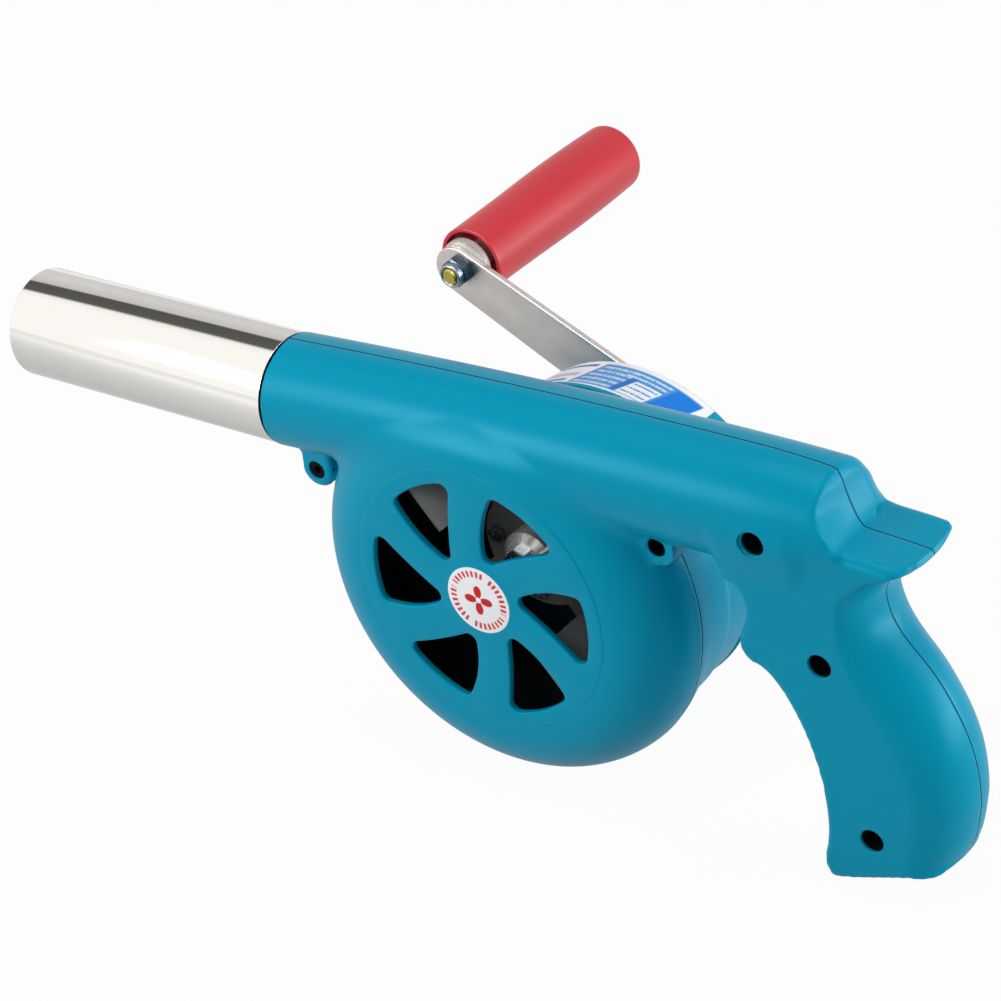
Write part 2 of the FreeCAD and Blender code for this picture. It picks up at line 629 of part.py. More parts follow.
toAxle = math.atan2(size("axle_z") - crankZ, size("axle_x") - crankX)
toFan = math.atan2(fanZ - size("axle_z"), fanX - size("axle_x"))
gear("drive_gear", "crank_x", "crank_z", "drive_y", "gear_width", "drive_teeth", toAxle, True,
     "gear_hub", "0", "gear_width + 1.3", "crank_shaft + play")
gear("idler_pinion", "axle_x", "axle_z", "drive_y - 1", "gear_width + 2", "idler_pinion_teeth",
     toAxle + math.pi, False, "0", "0", "0", "axle + play")
gear("idler_gear", "axle_x", "axle_z", "idler_y", "gear_width", "idler_teeth", toFan, True,
     "axle + 3", "0", "drive_y - 1 - idler_y", "axle + play")
gear("impeller_pinion", "fan_x", "fan_z", "idler_y - 1", "gear_width + 2.6", "fan_pinion_teeth",
     toFan + math.pi, False, "0", "0", "0", "fan_shaft")

# impeller
shaft = body("impeller_shaft", "fan_x", "0", "fan_z")
turn(shaft, [("0", "-7"), ("fan_shaft - 0.5", "-7"), ("fan_shaft", "-6.5"), ("fan_shaft", "31.2"),
             ("0", "31.2")])

hub = body("impeller_hub", "fan_x", "0", "fan_z")
turn(hub, [("fan_shaft", "fan_hub_y"), ("fan_hub - 2", "fan_hub_y"), ("fan_hub", "fan_hub_y + 2"),
           ("fan_hub", "wheel_y + wheel_sheet"), ("fan_flange", "wheel_y + wheel_sheet"),
           ("fan_flange", "wheel_y + 2.4"), ("fan_shaft", "wheel_y + 2.4")])
firstRivet = ("1.5", "rivet_ring * cos(blade_turn + 45)", "rivet_ring * sin(blade_turn + 45)")
rivetHole = plate(hub, "6", [], [firstRivet], "wheel_y + 2", "Pocket")
rivetHole.Midplane = True
doc.recompute()
around(hub, rivetHole, "4")

wheel = body("impeller_wheel", "fan_x", "wheel_y", "fan_z", 0)
plate(wheel, "wheel_sheet", [], [("wheel_disc", "0", "0")])


def turned(u, v):
    # a point given along and across the first blade's direction
    return ("(%s) * cos(blade_turn) - (%s) * sin(blade_turn)" % (u, v),
            "(%s) * sin(blade_turn) + (%s) * cos(blade_turn)" % (u, v))


spokeEdge = [turned("0", "-spoke / 2"), turned("blade_reach", "-spoke / 2"),
             turned("blade_reach", "spoke / 2"), turned("0", "spoke / 2")]
around(wheel, plate(wheel, "wheel_sheet", [spokeEdge]), "blade_count")
paddleEdge = [turned("blade_root", "0"), turned("blade_reach", "0"),
              turned("blade_reach", "wheel_sheet"), turned("blade_root", "wheel_sheet")]
paddle = plate(wheel, "wheel_y - blade_y", [paddleEdge], (), "blade_y - wheel_y")
around(wheel, paddle, "blade_count")
turn(wheel, [("blade_reach - 5", "blade_y - wheel_y - 1"), ("blade_reach + 2", "blade_y - wheel_y - 1"),
             ("blade_reach + 2", "blade_y - wheel_y + 6")], "Groove")
turn(wheel, [("0", "-5"), ("fan_hub", "-5"), ("fan_hub", "5"), ("0", "5")], "Groove")
eyelet = plate(wheel, "6", [], [firstRivet], "0", "Pocket")
eyelet.Midplane = True
doc.recompute()
around(wheel, eyelet, "4")

rivets = []
for k in range(4):
    x = "fan_x + rivet_ring * cos(blade_turn + %d)" % (45 + 90 * k)
    z = "fan_z + rivet_ring * sin(blade_turn + %d)" % (45 + 90 * k)
    head = peg("2.6", x, "wheel_y - 1.4", z, "1.4")
    rivets.append(join([head, peg("1.5", x, "wheel_y - 1.4", z, "3.8")]))
group("wheel_rivets", rivets)
group("impeller_nut", [cut(nut("8", "fan_x", "fan_hub_y - 4", "fan_z", "4"),
                           peg("fan_shaft", "fan_x", "-20", "fan_z", "40"))])

# crank
crank = body("crank_shaft", "crank_x", "0", "crank_z")
turn(crank, [("0", "frame_y + 0.1"), ("crank_shaft", "frame_y + 0.1"), ("crank_shaft", "boss_y + 0.5"),
             ("crank_collar", "boss_y + 0.5"), ("crank_collar", "arm_y"), ("crank_shaft", "arm_y"),
             ("crank_shaft", "arm_y + 9.2"), ("crank_shaft - 0.8", "arm_y + 10"), ("0", "arm_y + 10")])
span = "sqrt((crank_x - handle_x) ^ 2 + (crank_z - handle_z) ^ 2)"
lean = math.degrees(math.atan2(size("handle_z") - crankZ, size("handle_x") - crankX))
arm = body("crank_arm", "crank_x", "arm_y", "crank_z", -lean)
plate(arm, "arm_thick", [[("0", "arm_hub_off - arm_hub + 0.05"),
                          (span + " + arm_end", "arm_tip_off - arm_tip + 0.05"),
                          (span + " + arm_end", "arm_tip_off + arm_tip - 0.05"),
                          ("0", "arm_hub_off + arm_hub - 0.05")]])
plate(arm, "arm_thick", [], [("arm_hub", "0", "arm_hub_off")])
plate(arm, "arm_thick", [], [("arm_tip", span + " + arm_end", "arm_tip_off")])
armHoles = plate(arm, "20", [], [("crank_shaft",), ("spindle", span, "0")], "0", "Pocket")
armHoles.Midplane = True
doc.recompute()
group("crank_washer", [cut(peg("7.6", "crank_x", "arm_y + arm_thick", "crank_z", "1.2"),
                           peg("crank_shaft", "crank_x", "0", "crank_z", "100"))])
group("crank_nut", [cut(nut("13", "crank_x", "arm_y + arm_thick + 1.2", "crank_z", "4.6"),
                        peg("crank_shaft", "crank_x", "0", "crank_z", "100"))])

floorY = "handle_y + handle_mouth_depth"
backY = "handle_y + handle_length - plug_depth"
spindle = body("spindle_bolt", "handle_x", "0", "handle_z")
turn(spindle, [("0", "arm_y - 6.3"), ("spindle - 0.5", "arm_y - 6.3"), ("spindle", "arm_y - 5.8"),
               ("spindle", backY + " - 5.2"), ("4.2", backY + " - 5.2"), ("4.2", backY + " - 1.2"),
               ("0", backY + " - 1.2")])
spindleNut = join([nut("8", "handle_x", "arm_y - 3.8", "handle_z", "3.8", -10.0),
                   peg("3.65", "handle_x", "arm_y - 5.9", "handle_z", "2.5")])
group("spindle_nut", [cut(spindleNut, peg("spindle", "handle_x", "0", "handle_z", "160"))])
washer = body("spindle_washer", "handle_x", "0", "handle_z")
turn(washer, [("spindle", "arm_y + arm_thick"), ("8", "arm_y + arm_thick"), ("8", "arm_y + arm_thick + 1.6"),
              ("7.4", "arm_y + arm_thick + 2.2"), ("4", "arm_y + arm_thick + 2.6"), ("4", floorY + " - 0.3"),
              ("spindle", floorY + " - 0.3")])

# handle
grasp = body("crank_handle", "handle_x", "0", "handle_z")
farY = "handle_y + handle_length"
turn(grasp, [
    ("handle_mouth", "handle_y"), ("handle_radius - 0.6", "handle_y"), ("handle_radius", "handle_y + 0.6"),
    ("handle_swell", "handle_swell_y"), ("handle_tip", farY + " - handle_round"),
    ("handle_tip - handle_round * 0.3", farY + " - handle_round * 0.3"),
    ("handle_tip - handle_round", farY), ("plug", farY), ("plug", backY + " - 5.4"),
    ("spindle + handle_play", backY + " - 5.4"), ("spindle + handle_play", floorY), ("handle_mouth", floorY),
])
endPlug = body("handle_end_plug", "handle_x", "0", "handle_z")
turn(endPlug, [("0", backY), ("plug", backY), ("plug", farY + " - 0.4"), ("plug - 0.4", farY), ("0", farY)])

# check and write
doc.recompute()
names = """intake_shell gear_shell nozzle_tube intake_label drum_sticker gearbox_cover housing_screws
cover_screws frame_screws frame_pillars gear_frame_front gear_frame_rear crank_bushes impeller_bush idler_axle
idler_clips drive_gear idler_pinion idler_gear impeller_pinion impeller_shaft impeller_hub impeller_wheel
wheel_rivets impeller_nut crank_shaft crank_arm crank_washer crank_nut spindle_bolt spindle_nut
spindle_washer crank_handle handle_end_plug""".split()
for item in doc.Objects:
    if "Invalid" in item.State or "Error" in item.State:
        raise RuntimeError("%s is in state %s" % (item.Name, item.State))
os.makedirs("parts", exist_ok=True)
for name in names:
    part = doc.getObject(name)
    shape = part.Shape
    if shape.isNull() or not shape.isValid() or shape.Volume <= 0:
        raise RuntimeError("%s has no sound shape" % name)
    shape.exportStep("parts/%s.step" % name)
    box = shape.BoundBox
    print("%-18s solids %d volume %9.1f  x %.1f %.1f  y %.1f %.1f  z %.1f %.1f" % (
        name, len(shape.Solids), shape.Volume, box.XMin, box.XMax, box.YMin, box.YMax, box.ZMin, box.ZMax))
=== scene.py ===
import bpy
import bmesh
import math
import numpy as np
from mathutils import Matrix, Vector


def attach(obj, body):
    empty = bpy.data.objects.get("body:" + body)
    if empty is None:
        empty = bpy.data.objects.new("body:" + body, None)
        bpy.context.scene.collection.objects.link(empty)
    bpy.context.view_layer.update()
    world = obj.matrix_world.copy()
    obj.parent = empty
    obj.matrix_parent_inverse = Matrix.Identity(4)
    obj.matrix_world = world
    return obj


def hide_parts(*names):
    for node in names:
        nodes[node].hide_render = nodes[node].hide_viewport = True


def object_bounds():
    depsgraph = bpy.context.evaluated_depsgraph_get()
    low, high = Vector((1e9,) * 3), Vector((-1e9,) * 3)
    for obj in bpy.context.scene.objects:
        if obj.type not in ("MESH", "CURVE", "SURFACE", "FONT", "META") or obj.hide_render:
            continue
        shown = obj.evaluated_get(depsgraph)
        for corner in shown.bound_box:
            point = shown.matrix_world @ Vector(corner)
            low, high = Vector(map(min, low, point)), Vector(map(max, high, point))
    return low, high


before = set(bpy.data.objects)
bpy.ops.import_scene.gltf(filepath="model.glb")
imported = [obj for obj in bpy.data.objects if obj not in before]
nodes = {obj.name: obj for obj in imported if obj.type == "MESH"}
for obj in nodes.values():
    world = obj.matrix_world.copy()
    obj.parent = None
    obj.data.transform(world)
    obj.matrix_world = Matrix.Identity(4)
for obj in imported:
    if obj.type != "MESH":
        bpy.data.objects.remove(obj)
cadLow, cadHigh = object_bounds()
mm = 0.001

# places shared by several pieces, in millimetres: x and z of each axis along Y
fanAxis = (166.5, -38.5)
voluteAxis = (165.5, -40.9)
drumAxis = (177.5, -40.9)
crankAxis = (182.0, -29.3)
handleAxis = (107.0, 9.48)


# small helpers

def linear(hexColour):
    # sRGB hex to linear RGBA
    out = []
    for i in (0, 2, 4):
        c = int(hexColour.lstrip("#")[i:i + 2], 16) / 255
        out.append(c / 12.92 if c <= 0.04045 else ((c + 0.055) / 1.055) ** 2.4)
    return (*out, 1.0)


def addNode(tree, kind, links=None, **settings):
    # links gives each input a socket, a node, whose first output it takes, or a value
    node = tree.nodes.new("ShaderNode" + kind)
    for key, value in settings.items():
        setattr(node, key, value)
    for socket, source in (links or {}).items():
        target = node.inputs[socket]
        if isinstance(source, bpy.types.Node):
            source = source.outputs[0]
        if isinstance(source, bpy.types.NodeSocket):
            tree.links.new(source, target)
        else:
            target.default_value = source
    return node


def newMaterial(name):
    material = bpy.data.materials.new(name)
    material.use_nodes = True
    tree = material.node_tree
    tree.nodes.clear()
    output = tree.nodes.new("ShaderNodeOutputMaterial")
    shader = tree.nodes.new("ShaderNodeBsdfPrincipled")
    tree.links.new(shader.outputs[0], output.inputs[0])
    coords = tree.nodes.new("ShaderNodeTexCoord")
    return material, tree, shader, coords.outputs["Object"]


def dress(obj, material, body, *replaced):
    obj.data.materials.clear()
    obj.data.materials.append(material)
    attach(obj, body)
    if replaced:
        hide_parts(*replaced)


def link(name, mesh, sharp):
    # smooth shading with sharp edges above an angle in degrees
    mesh.shade_smooth()
    mesh.set_sharp_from_angle(angle=math.radians(sharp))
    obj = bpy.data.objects.new(name, mesh)
    bpy.context.scene.collection.objects.link(obj)
    return obj


def newMesh(name, points, faces, sharp=32):
    # points in millimetres
    mesh = bpy.data.meshes.new(name)
    mesh.from_pydata((np.asarray(points) * mm).tolist(), [], [tuple(f) for f in faces])
    bm = bmesh.new()
    bm.from_mesh(mesh)
    bmesh.ops.remove_doubles(bm, verts=bm.verts, dist=1e-6)
    bmesh.ops.recalc_face_normals(bm, faces=bm.faces)
    bm.to_mesh(mesh)
    bm.free()
    return link(name, mesh, sharp)


def rounded(corners, steps=6):
    # corners are (r, along, radius); each corner with a radius becomes an arc tangent to both sides
    out = []
    n = len(corners)
    for i, (r, a, radius) in enumerate(corners):
        p = np.array([r, a], float)
        if radius <= 0:
            out.append(p)
            continue
        u = np.array(corners[i - 1][:2], float) - p
        v = np.array(corners[(i + 1) % n][:2], float) - p
        u /= np.linalg.norm(u)
        v /= np.linalg.norm(v)
        half = math.acos(max(-1, min(1, u @ v))) / 2
        cut = radius / math.tan(half)
        centre = p + (u + v) / np.linalg.norm(u + v) * radius / math.sin(half)
        start, end = p + u * cut - centre, p + v * cut - centre
        a0 = math.atan2(start[1], start[0])
        turn = (math.atan2(end[1], end[0]) - a0 + math.pi) % (2 * math.pi) - math.pi
        for t in np.linspace(0, 1, steps + 1):
            ang = a0 + turn * t
            out.append(centre + radius * np.array([math.cos(ang), math.sin(ang)]))
    return np.array(out)


def wrapQuads(rows, columns):
    # the faces of a grid of points that closes on itself both ways
    i, j = np.meshgrid(np.arange(rows), np.arange(columns), indexing="ij")
    i2, j2 = (i + 1) % rows, (j + 1) % columns
    quads = np.stack([i * columns + j, i2 * columns + j, i2 * columns + j2, i * columns + j2], -1)
    return quads.reshape(-1, 4).tolist()


def turned(name, profile, axis=(0, 0), along="Y", segments=96, sharp=32):
    # a closed (radius, along) profile swept round its axis: p = axis + (r cos t, a, r sin t)
    profile = np.asarray(profile, float)
    t = np.linspace(0, 2 * math.pi, segments, endpoint=False)
    r, a = profile[:, :1], profile[:, 1:2]
    c, s, a = r * np.cos(t), r * np.sin(t), a + 0 * t
    if along == "Y":
        points = np.stack([axis[0] + c, a, axis[1] + s], -1)
    else:
        points = np.stack([a, axis[0] + c, axis[1] + s], -1)
    return newMesh(name, points.reshape(-1, 3), wrapQuads(len(profile), segments), sharp)


# materials

def paint(tree, under, mask, ink):
    # the ink, in hex, covers the colour under it as far as the mask says
    mix = addNode(tree, "Mix", {"Factor": mask, "A": under, "B": linear(ink)}, data_type="RGBA")
    return mix.outputs["Result"]


def unevenGloss(tree, shader, value, low, high):
    # the roughness follows a noise between low and high
    gloss = addNode(tree, "MapRange", {"Value": value, "From Min": 0.3, "From Max": 0.7,
                                      "To Min": low, "To Max": high})
    tree.links.new(gloss.outputs["Result"], shader.inputs["Roughness"])


def relief(tree, shader, height, strength, distance):
    bump = addNode(tree, "Bump", {"Height": height, "Strength": strength, "Distance": distance})
    tree.links.new(bump.outputs["Normal"], shader.inputs["Normal"])


# noise scales are features per metre: 14 gives clouds 70 mm wide, 900 a grain of 1.1 mm, which is coarser
# than a real mould's spark grain so that it shows
plasticLook = {"clouds": 14.0, "grain": 900.0, "grainHeight": 0.00002, "ior": 1.5}
# 120 gives blotches 8 mm wide; 30 times a stretch of 60 gives lines 0.5 mm apart
metalLook = {"blotches": 120.0, "lines": 30.0}


def plasticMaterial(name, colour, dark, roughness, shine=0.3, tint=(1, 1, 1, 1)):
    # moulded plastic: faint cloudiness in the colour, uneven gloss and a fine grain
    look = plasticLook
    material, tree, shader, place = newMaterial(name)
    cloud = addNode(tree, "TexNoise", {"Vector": place, "Scale": look["clouds"], "Detail": 3.0,
                                      "Roughness": 0.55})
    grain = addNode(tree, "TexNoise", {"Vector": place, "Scale": look["grain"], "Detail": 2.0})
    tree.links.new(paint(tree, linear(colour), cloud, dark), shader.inputs["Base Color"])
    unevenGloss(tree, shader, cloud, roughness - 0.03, roughness + 0.04)
    relief(tree, shader, grain, 0.15, look["grainHeight"])
    shader.inputs["IOR"].default_value = look["ior"]
    shader.inputs["Specular IOR Level"].default_value = shine
    shader.inputs["Specular Tint"].default_value = tint
    return material


def metalMaterial(name, colour, dark, roughness, stretch=(60.0, 60.0, 60.0), scratch=0.00003, spread=0.08,
                  metallic=1.0):
    # bare or plated metal: stretched noise gives brushing, blotches change tint and gloss
    look = metalLook
    material, tree, shader, place = newMaterial(name)
    brushed = addNode(tree, "Mapping", {"Vector": place, "Scale": stretch})
    lines = addNode(tree, "TexNoise", {"Vector": brushed, "Scale": look["lines"], "Detail": 4.0})
    blotch = addNode(tree, "TexNoise", {"Vector": place, "Scale": look["blotches"], "Detail": 4.0,
                                       "Roughness": 0.6})
    tree.links.new(paint(tree, linear(colour), blotch, dark), shader.inputs["Base Color"])
    unevenGloss(tree, shader, lines, max(0.02, roughness - spread), roughness + spread)
    relief(tree, shader, lines, 0.3, scratch)
    shader.inputs["Metallic"].default_value = metallic
    return material


# injection moulded in a satin mould: broad soft highlights that stay teal
tealAbs = plasticMaterial("satin teal ABS", "#0096B8", "#0091B2", 0.31, 0.22, (0.2, 0.8, 1, 1))
# painted shade: the inside of the teal moulding lies unlit, so it is coloured matt and nearly black
paintedShadeAbs = plasticMaterial("painted shade inner wall", "#02151C", "#010F14", 0.6, 0.1)
# injection moulded grip: one soft bright streak along it
redPlastic = plasticMaterial("satin red plastic", "#D42231", "#C61C2B", 0.36, 0.8)
# moulded gears without pigment: milky and slightly waxy
nylon = plasticMaterial("natural nylon", "#E4E0D3", "#D9D4C4", 0.45, 0.4)
# drawn tube polished to a mirror, with hardly visible lines along it
stainless = metalMaterial("polished stainless", "#FDFBF8", "#F8F5F1", 0.06, (2.0, 60.0, 60.0), 0.000002,
                          0.015)
# plates stamped from rolled, plated sheet: a pale grey with blurred reflections
zincSheet = metalMaterial("zinc sheet", "#ECEAE8", "#D2D0CE", 0.42, (40.0, 40.0, 8.0), metallic=0.15)
wheelSheet = metalMaterial("stamped wheel sheet", "#FAF8F6", "#EAE8E6", 0.45, (40.0, 40.0, 8.0), metallic=0.1)
# heat blackened thread and head: dark with a dull shine
blackSteel = metalMaterial("blackened screw steel", "#1B1F22", "#101315", 0.35)
# strip cut from a coil and tumbled: long scratches along it, warm grey
armSheet = metalMaterial("scratched zinc strip", "#F4EEEA", "#D3CCC7", 0.4, (12.0, 40.0, 40.0), 0.00005)
# electroplated small parts: bright with a blue tinge
zincPlate = metalMaterial("bright zinc plate", "#B9C2CB", "#8F9AA6", 0.22)
darkZinc = metalMaterial("bluish zinc nut", "#6F7C88", "#4A5560", 0.24)
# plated and passivated: pale brass with a green tinge
yellowZinc = metalMaterial("yellow passivated zinc", "#DCD06C", "#B9A548", 0.25)
# turned on a lathe and left bare: even grey
turnedSteel = metalMaterial("turned steel", "#D8D6D3", "#BDBAB7", 0.3, metallic=0.4)
# pressed and sintered powder soaked in oil: dark, dull bronze
bronze = metalMaterial("sintered bronze", "#A97F4A", "#8C683A", 0.4)
print("materials made")


# housing: one distance field for both half shells, meshed by dual contouring

housing = {
    # mesh: cell of the grid, wall thickness, half the gap between the shells
    "step": 1.05, "wall": 2.2, "seamGap": 0.15,
    # fan chamber and gearbox drum
    "voluteRadius": 59.97, "voluteRound": 20.4, "voluteDepth": 19.2,
    "drumRadius": 47.8, "drumStep": 0.6, "drumStepY": 13.4, "drumDepth": 24.9,
    # barrel: where it starts and ends along X, its radius at both ends, how far its axis rises over
    # riseLength, where and by how much it shrinks at its end, and the neck's opening
    "barrelStart": 95, "barrelEnd": 281, "barrelFront": 16.2, "barrelBack": 16.9, "barrelRise": 4.4,
    "riseLength": 145, "shrinkStart": 252, "shrinkLength": 29, "shrinkBy": 1.9, "mouth": 14.6,
    # grip with thumb rest
    "gripHalf": 15.0, "gripRound": 1.5, "thumbRound": 3.3, "thumbTip": 298.9,
    # openings: intake, screw recesses with their lips and seats, and where the skin is opened behind a disc
    "faceHole": 39.4, "recess": 3.38, "lugRecess": 2.75, "recessLip": 0.6, "lugLip": 0.4, "seatY": -3.2,
    "intakeCut": 39.2, "drumCut": 46.0,
    # screw lugs, front and rear: radius, half width, edge round, and the front one's web up to the barrel
    "lugRadius": 5.3, "lugHalf": 6.0, "lugRound": 1.4, "webHalf": 5.2, "webTop": 12,
    "rearRadius": 5.5, "rearHalf": 9.0, "rearRound": 0.6,
    # fillets where two forms meet
    "gripBlend": 5.0, "voluteBlend": 4.0, "drumBlend": 1.0, "lugBlend": 2.2, "rearBlend": 1.5,
}
# the grip's outline as x and z: front with the finger grooves, foot, back with the thumb rest, and its top
gripFront = [(244, 2), (244, -12.2), (247.8, -13.4), (250.1, -17.3), (250.3, -22), (247.8, -28.8),
             (248.0, -32.4), (250.4, -35.4), (255.3, -37.4), (260.9, -44.1), (266.2, -55.4), (269.7, -69.0),
             (270.4, -82.6), (269.0, -91.2)]
gripFoot = [(269.0, -91.2), (269.3, -95.6), (273.4, -97.6), (294.0, -90.8), (300.6, -89.8), (303.9, -88.2)]
gripBack = [(303.9, -88.2), (305.9, -83.4), (307.4, -77.0), (308.3, -69.0), (307.2, -57.5), (303.6, -46.6),
            (297.0, -35.2), (287.6, -24.4), (284.0, -16.0), (284.6, -10.4), (288.5, -5.8), (294, -1.4),
            (297.4, 0.9), (298.7, 2.2), (298.0, 3.4)]
thumbTop = [(298.0, 3.4), (290, 4.1), (281, 4.5), (268, 4.7), (244, 3)]
# how far the round of the grip's back reaches towards the front, by height, and how crisply it ends
backReach = [(-90, 10), (-78, 13), (-45, 13), (-36, 11), (-27.2, 8.7), (-20.5, 7.4), (-14.6, 6.3), (-8, 5.6),
             (-2, 4.6), (0, 3.6), (2.4, 2.4), (3.5, 1.5)]
backCrisp = [(-45, 0.02), (-30, 0.3), (-12, 0.45), (0, 0.3), (3.5, 0.1)]
# the cove at the barrel's end, from its top down to the thumb rest
coveCurve = [(270.6, 20.6), (271.8, 19.6), (273.0, 17.5), (273.9, 14.5), (274.9, 11.6), (276.6, 7.6),
             (277.7, 5.9), (278.9, 4.8), (281.5, 4.5)]
# screw recesses: x, z and the y of the surface they are sunk in; the lugs' recesses are at the lugs' axes
recesses = [(255.5, 2.5, -16.6), (271.8, -30.7, -15.0), (283.9, -81.9, -15.0)]
frontLug = (102.7, -21.4)
rearLug = (220.0, -12.8)


def smoothLine(points, count):
    # Catmull-Rom through the points, resampled evenly
    p = np.array(points, float)
    p = np.vstack([2 * p[0] - p[1], p, 2 * p[-1] - p[-2]])
    out = []
    for k in range(1, len(p) - 2):
        t = np.linspace(0, 1, count, endpoint=False)[:, None]
        a, b, c, d = p[k - 1:k + 3]
        square = (2 * a - 5 * b + 4 * c - d) * t ** 2
        cube = (3 * b - a - 3 * c + d) * t ** 3
        out.append(0.5 * (2 * b + (c - a) * t + square + cube))
    out.append(p[-2][None])
    return np.vstack(out)


def lineDistance(u, v, line, closed):
    # distance to a polyline, and for a closed one the sign by counting crossings
    best = np.full(u.shape, 1e9)
    inside = np.zeros(u.shape, bool)
    a = line
    b = np.roll(line, -1, 0) if closed else line[1:]
    for (ax, ay), (bx, by) in zip(a, b):
        ex, ey = bx - ax, by - ay
        wx, wy = u - ax, v - ay
        t = np.clip((wx * ex + wy * ey) / (ex * ex + ey * ey), 0, 1)
        best = np.minimum(best, (wx - ex * t) ** 2 + (wy - ey * t) ** 2)
        if closed and ey != 0:
            inside ^= ((ay > v) != (by > v)) & (u < ex * (v - ay) / ey + ax)
    best = np.sqrt(best)
    return np.where(inside, -best, best) if closed else best


def roundMax(a, b, r):
    # intersection with a round edge of radius r
    return np.hypot(np.maximum(a + r, 0), np.maximum(b + r, 0)) + np.minimum(np.maximum(a, b) + r, 0) - r


def roundMin(a, b, r):
    # union with a fillet of radius r in the valley
    return -roundMax(-a, -b, r)


frontLine = smoothLine(gripFront[1:], 5)
footLine = smoothLine(gripFoot, 4)
backLine = smoothLine(gripBack, 5)
gripLoop = np.vstack([gripFront[:1], frontLine, footLine[1:-1], backLine, thumbTop[1:]])
coveLoop = np.vstack([[(268.2, 40), (268.2, 20.9)], smoothLine(coveCurve, 5), [(310, 3.0), (310, 40)]])


def ramp(value):
    # 0 below 0, 1 above 1, smooth between
    t = np.clip(value, 0, 1)
    return t * t * (3 - 2 * t)


def housingField(p):
    h = housing
    x, y, z = p[:, 0], p[:, 1], p[:, 2]
    side = np.abs(y)
    # volute: flat faces, large edge rounds centred a little past the seam
    rho = np.hypot(x - voluteAxis[0], z - voluteAxis[1])
    flat = h["voluteRadius"] - h["voluteRound"]
    past = h["voluteRound"] - h["voluteDepth"]
    edgeRound = np.hypot(rho - flat, side + past) - h["voluteRound"]
    volute = np.where(rho > flat, edgeRound, side - h["voluteDepth"])
    # gearbox drum with its small step
    rho = np.hypot(x - drumAxis[0], z - drumAxis[1])
    narrow = h["drumStep"] * ramp((y - h["drumStepY"]) / 1.6)
    drum = roundMax(rho - h["drumRadius"] + narrow, y - h["drumDepth"], 0.7)
    drum = np.maximum(drum, -y - 0.5)
    # barrel: radius R(x) on the centre line z = rise (1 - (1 - t)^2); its end shrinks, less on the far side
    t = np.clip((x - h["barrelStart"]) / h["riseLength"], 0, 1)
    shrink = np.clip((x - h["shrinkStart"]) / h["shrinkLength"], 0, 1) ** 1.5
    shrink = shrink * (1 - 0.7 * ramp(y / 9) * ramp((z - 6) / 5))
    radius = h["barrelFront"] + (h["barrelBack"] - h["barrelFront"]) * t - h["shrinkBy"] * shrink
    barrel = np.hypot(side, z - h["barrelRise"] * (1 - (1 - t) ** 2)) - radius
    barrel = roundMax(barrel, h["barrelStart"] - x, 0.35)
    barrel = roundMax(barrel, x - h["barrelEnd"] + 4 * ramp(y / 10), 3.0)
    # the cove at its end is hollowed on the near side; on the far side it falls away towards a rounder rim
    hollow = 0.2 * (np.hypot(side, 2.0) - 2.0) * ramp((z - 6.5) / 7)
    hollow = np.where(y > 0, 0.085 * np.maximum(y - 8.5, 0) ** 2, hollow)
    rim = 0.8 + 2.2 * ramp(y / 10) * ramp((z - 9) / 6)
    barrel = roundMax(barrel, -lineDistance(x + hollow, z, coveLoop, True), rim)
    # grip with the thumb rest: flat sides, a small round in front and a wider one on top
    outline = lineDistance(x, z, gripLoop, True)
    onThumb = ramp((x - 275) / 6) * ramp((z + 1) / 3)
    edge = h["gripRound"] + (h["thumbRound"] - h["gripRound"]) * onThumb
    grip = roundMax(outline, side - h["gripHalf"], edge)
    # the back is part of an ellipse across the grip, reach wide, that meets the flat side at a crisp angle
    depth = lineDistance(x, z, backLine, False) - 2 * np.maximum(outline, 0)
    reach = np.interp(z, *zip(*backReach)) * (1 + np.interp(z, *zip(*backCrisp)))
    over = 1 - 1 / (1 + np.interp(z, *zip(*backCrisp)))
    half = h["gripHalf"] / np.sqrt(1 - over ** 2)
    a, b = np.maximum((reach - depth) / reach, 0), side / half
    q = np.maximum(np.hypot(a, b), 1e-6)
    grip = np.maximum(grip, (q - 1) / np.maximum(np.hypot(a / q / reach, b / q / half), 1e-6))
    plan = roundMax(side - h["gripHalf"] - 1.2, x - h["thumbTip"] + 0.016 * side ** 2, 5.2)
    plan = plan - 40 * ramp((-12 - z) / 10)
    grip = roundMax(grip, plan, 1.0)
    # screw lugs under the barrel
    dx, dz = x - frontLug[0], z - frontLug[1]
    web = np.maximum(np.abs(dx) - h["webHalf"], np.maximum(-dz, dz - h["webTop"]))
    front = roundMax(np.minimum(np.hypot(dx, dz) - h["lugRadius"], web), side - h["lugHalf"], h["lugRound"])
    rear = np.hypot(x - rearLug[0], z - rearLug[1]) - h["rearRadius"]
    rear = roundMax(rear, side - h["rearHalf"], h["rearRound"])
    # put together; the blends fade out where the surfaces run side by side
    body = roundMin(barrel, grip, 0.4 + h["gripBlend"] * ramp((272 - x) / 8))
    body = roundMin(body, volute, 0.2 + h["voluteBlend"] * ramp((14 - z) / 10))
    body = roundMin(body, drum, h["drumBlend"])
    body = roundMin(body, front, h["lugBlend"])
    body = roundMin(body, rear, h["rearBlend"])
    # openings on the intake side
    hole = np.maximum(np.hypot(x - fanAxis[0], z - fanAxis[1]) - h["faceHole"], y + 17.0)
    body = np.maximum(body, -hole)
    for cx, cz, _ in recesses:
        well = np.hypot(x - cx, z - cz) - h["recess"] - h["recessLip"]
        body = np.maximum(body, -np.maximum(well, y - h["seatY"]))
    for cx, cz in (frontLug, rearLug):
        well = np.hypot(x - cx, z - cz) - h["lugRecess"] - h["lugLip"]
        body = np.maximum(body, -np.maximum(well, y - h["seatY"]))
    return body


def inChunks(field, points, size=200000):
    return np.concatenate([field(points[i:i + size]) for i in range(0, len(points), size)])


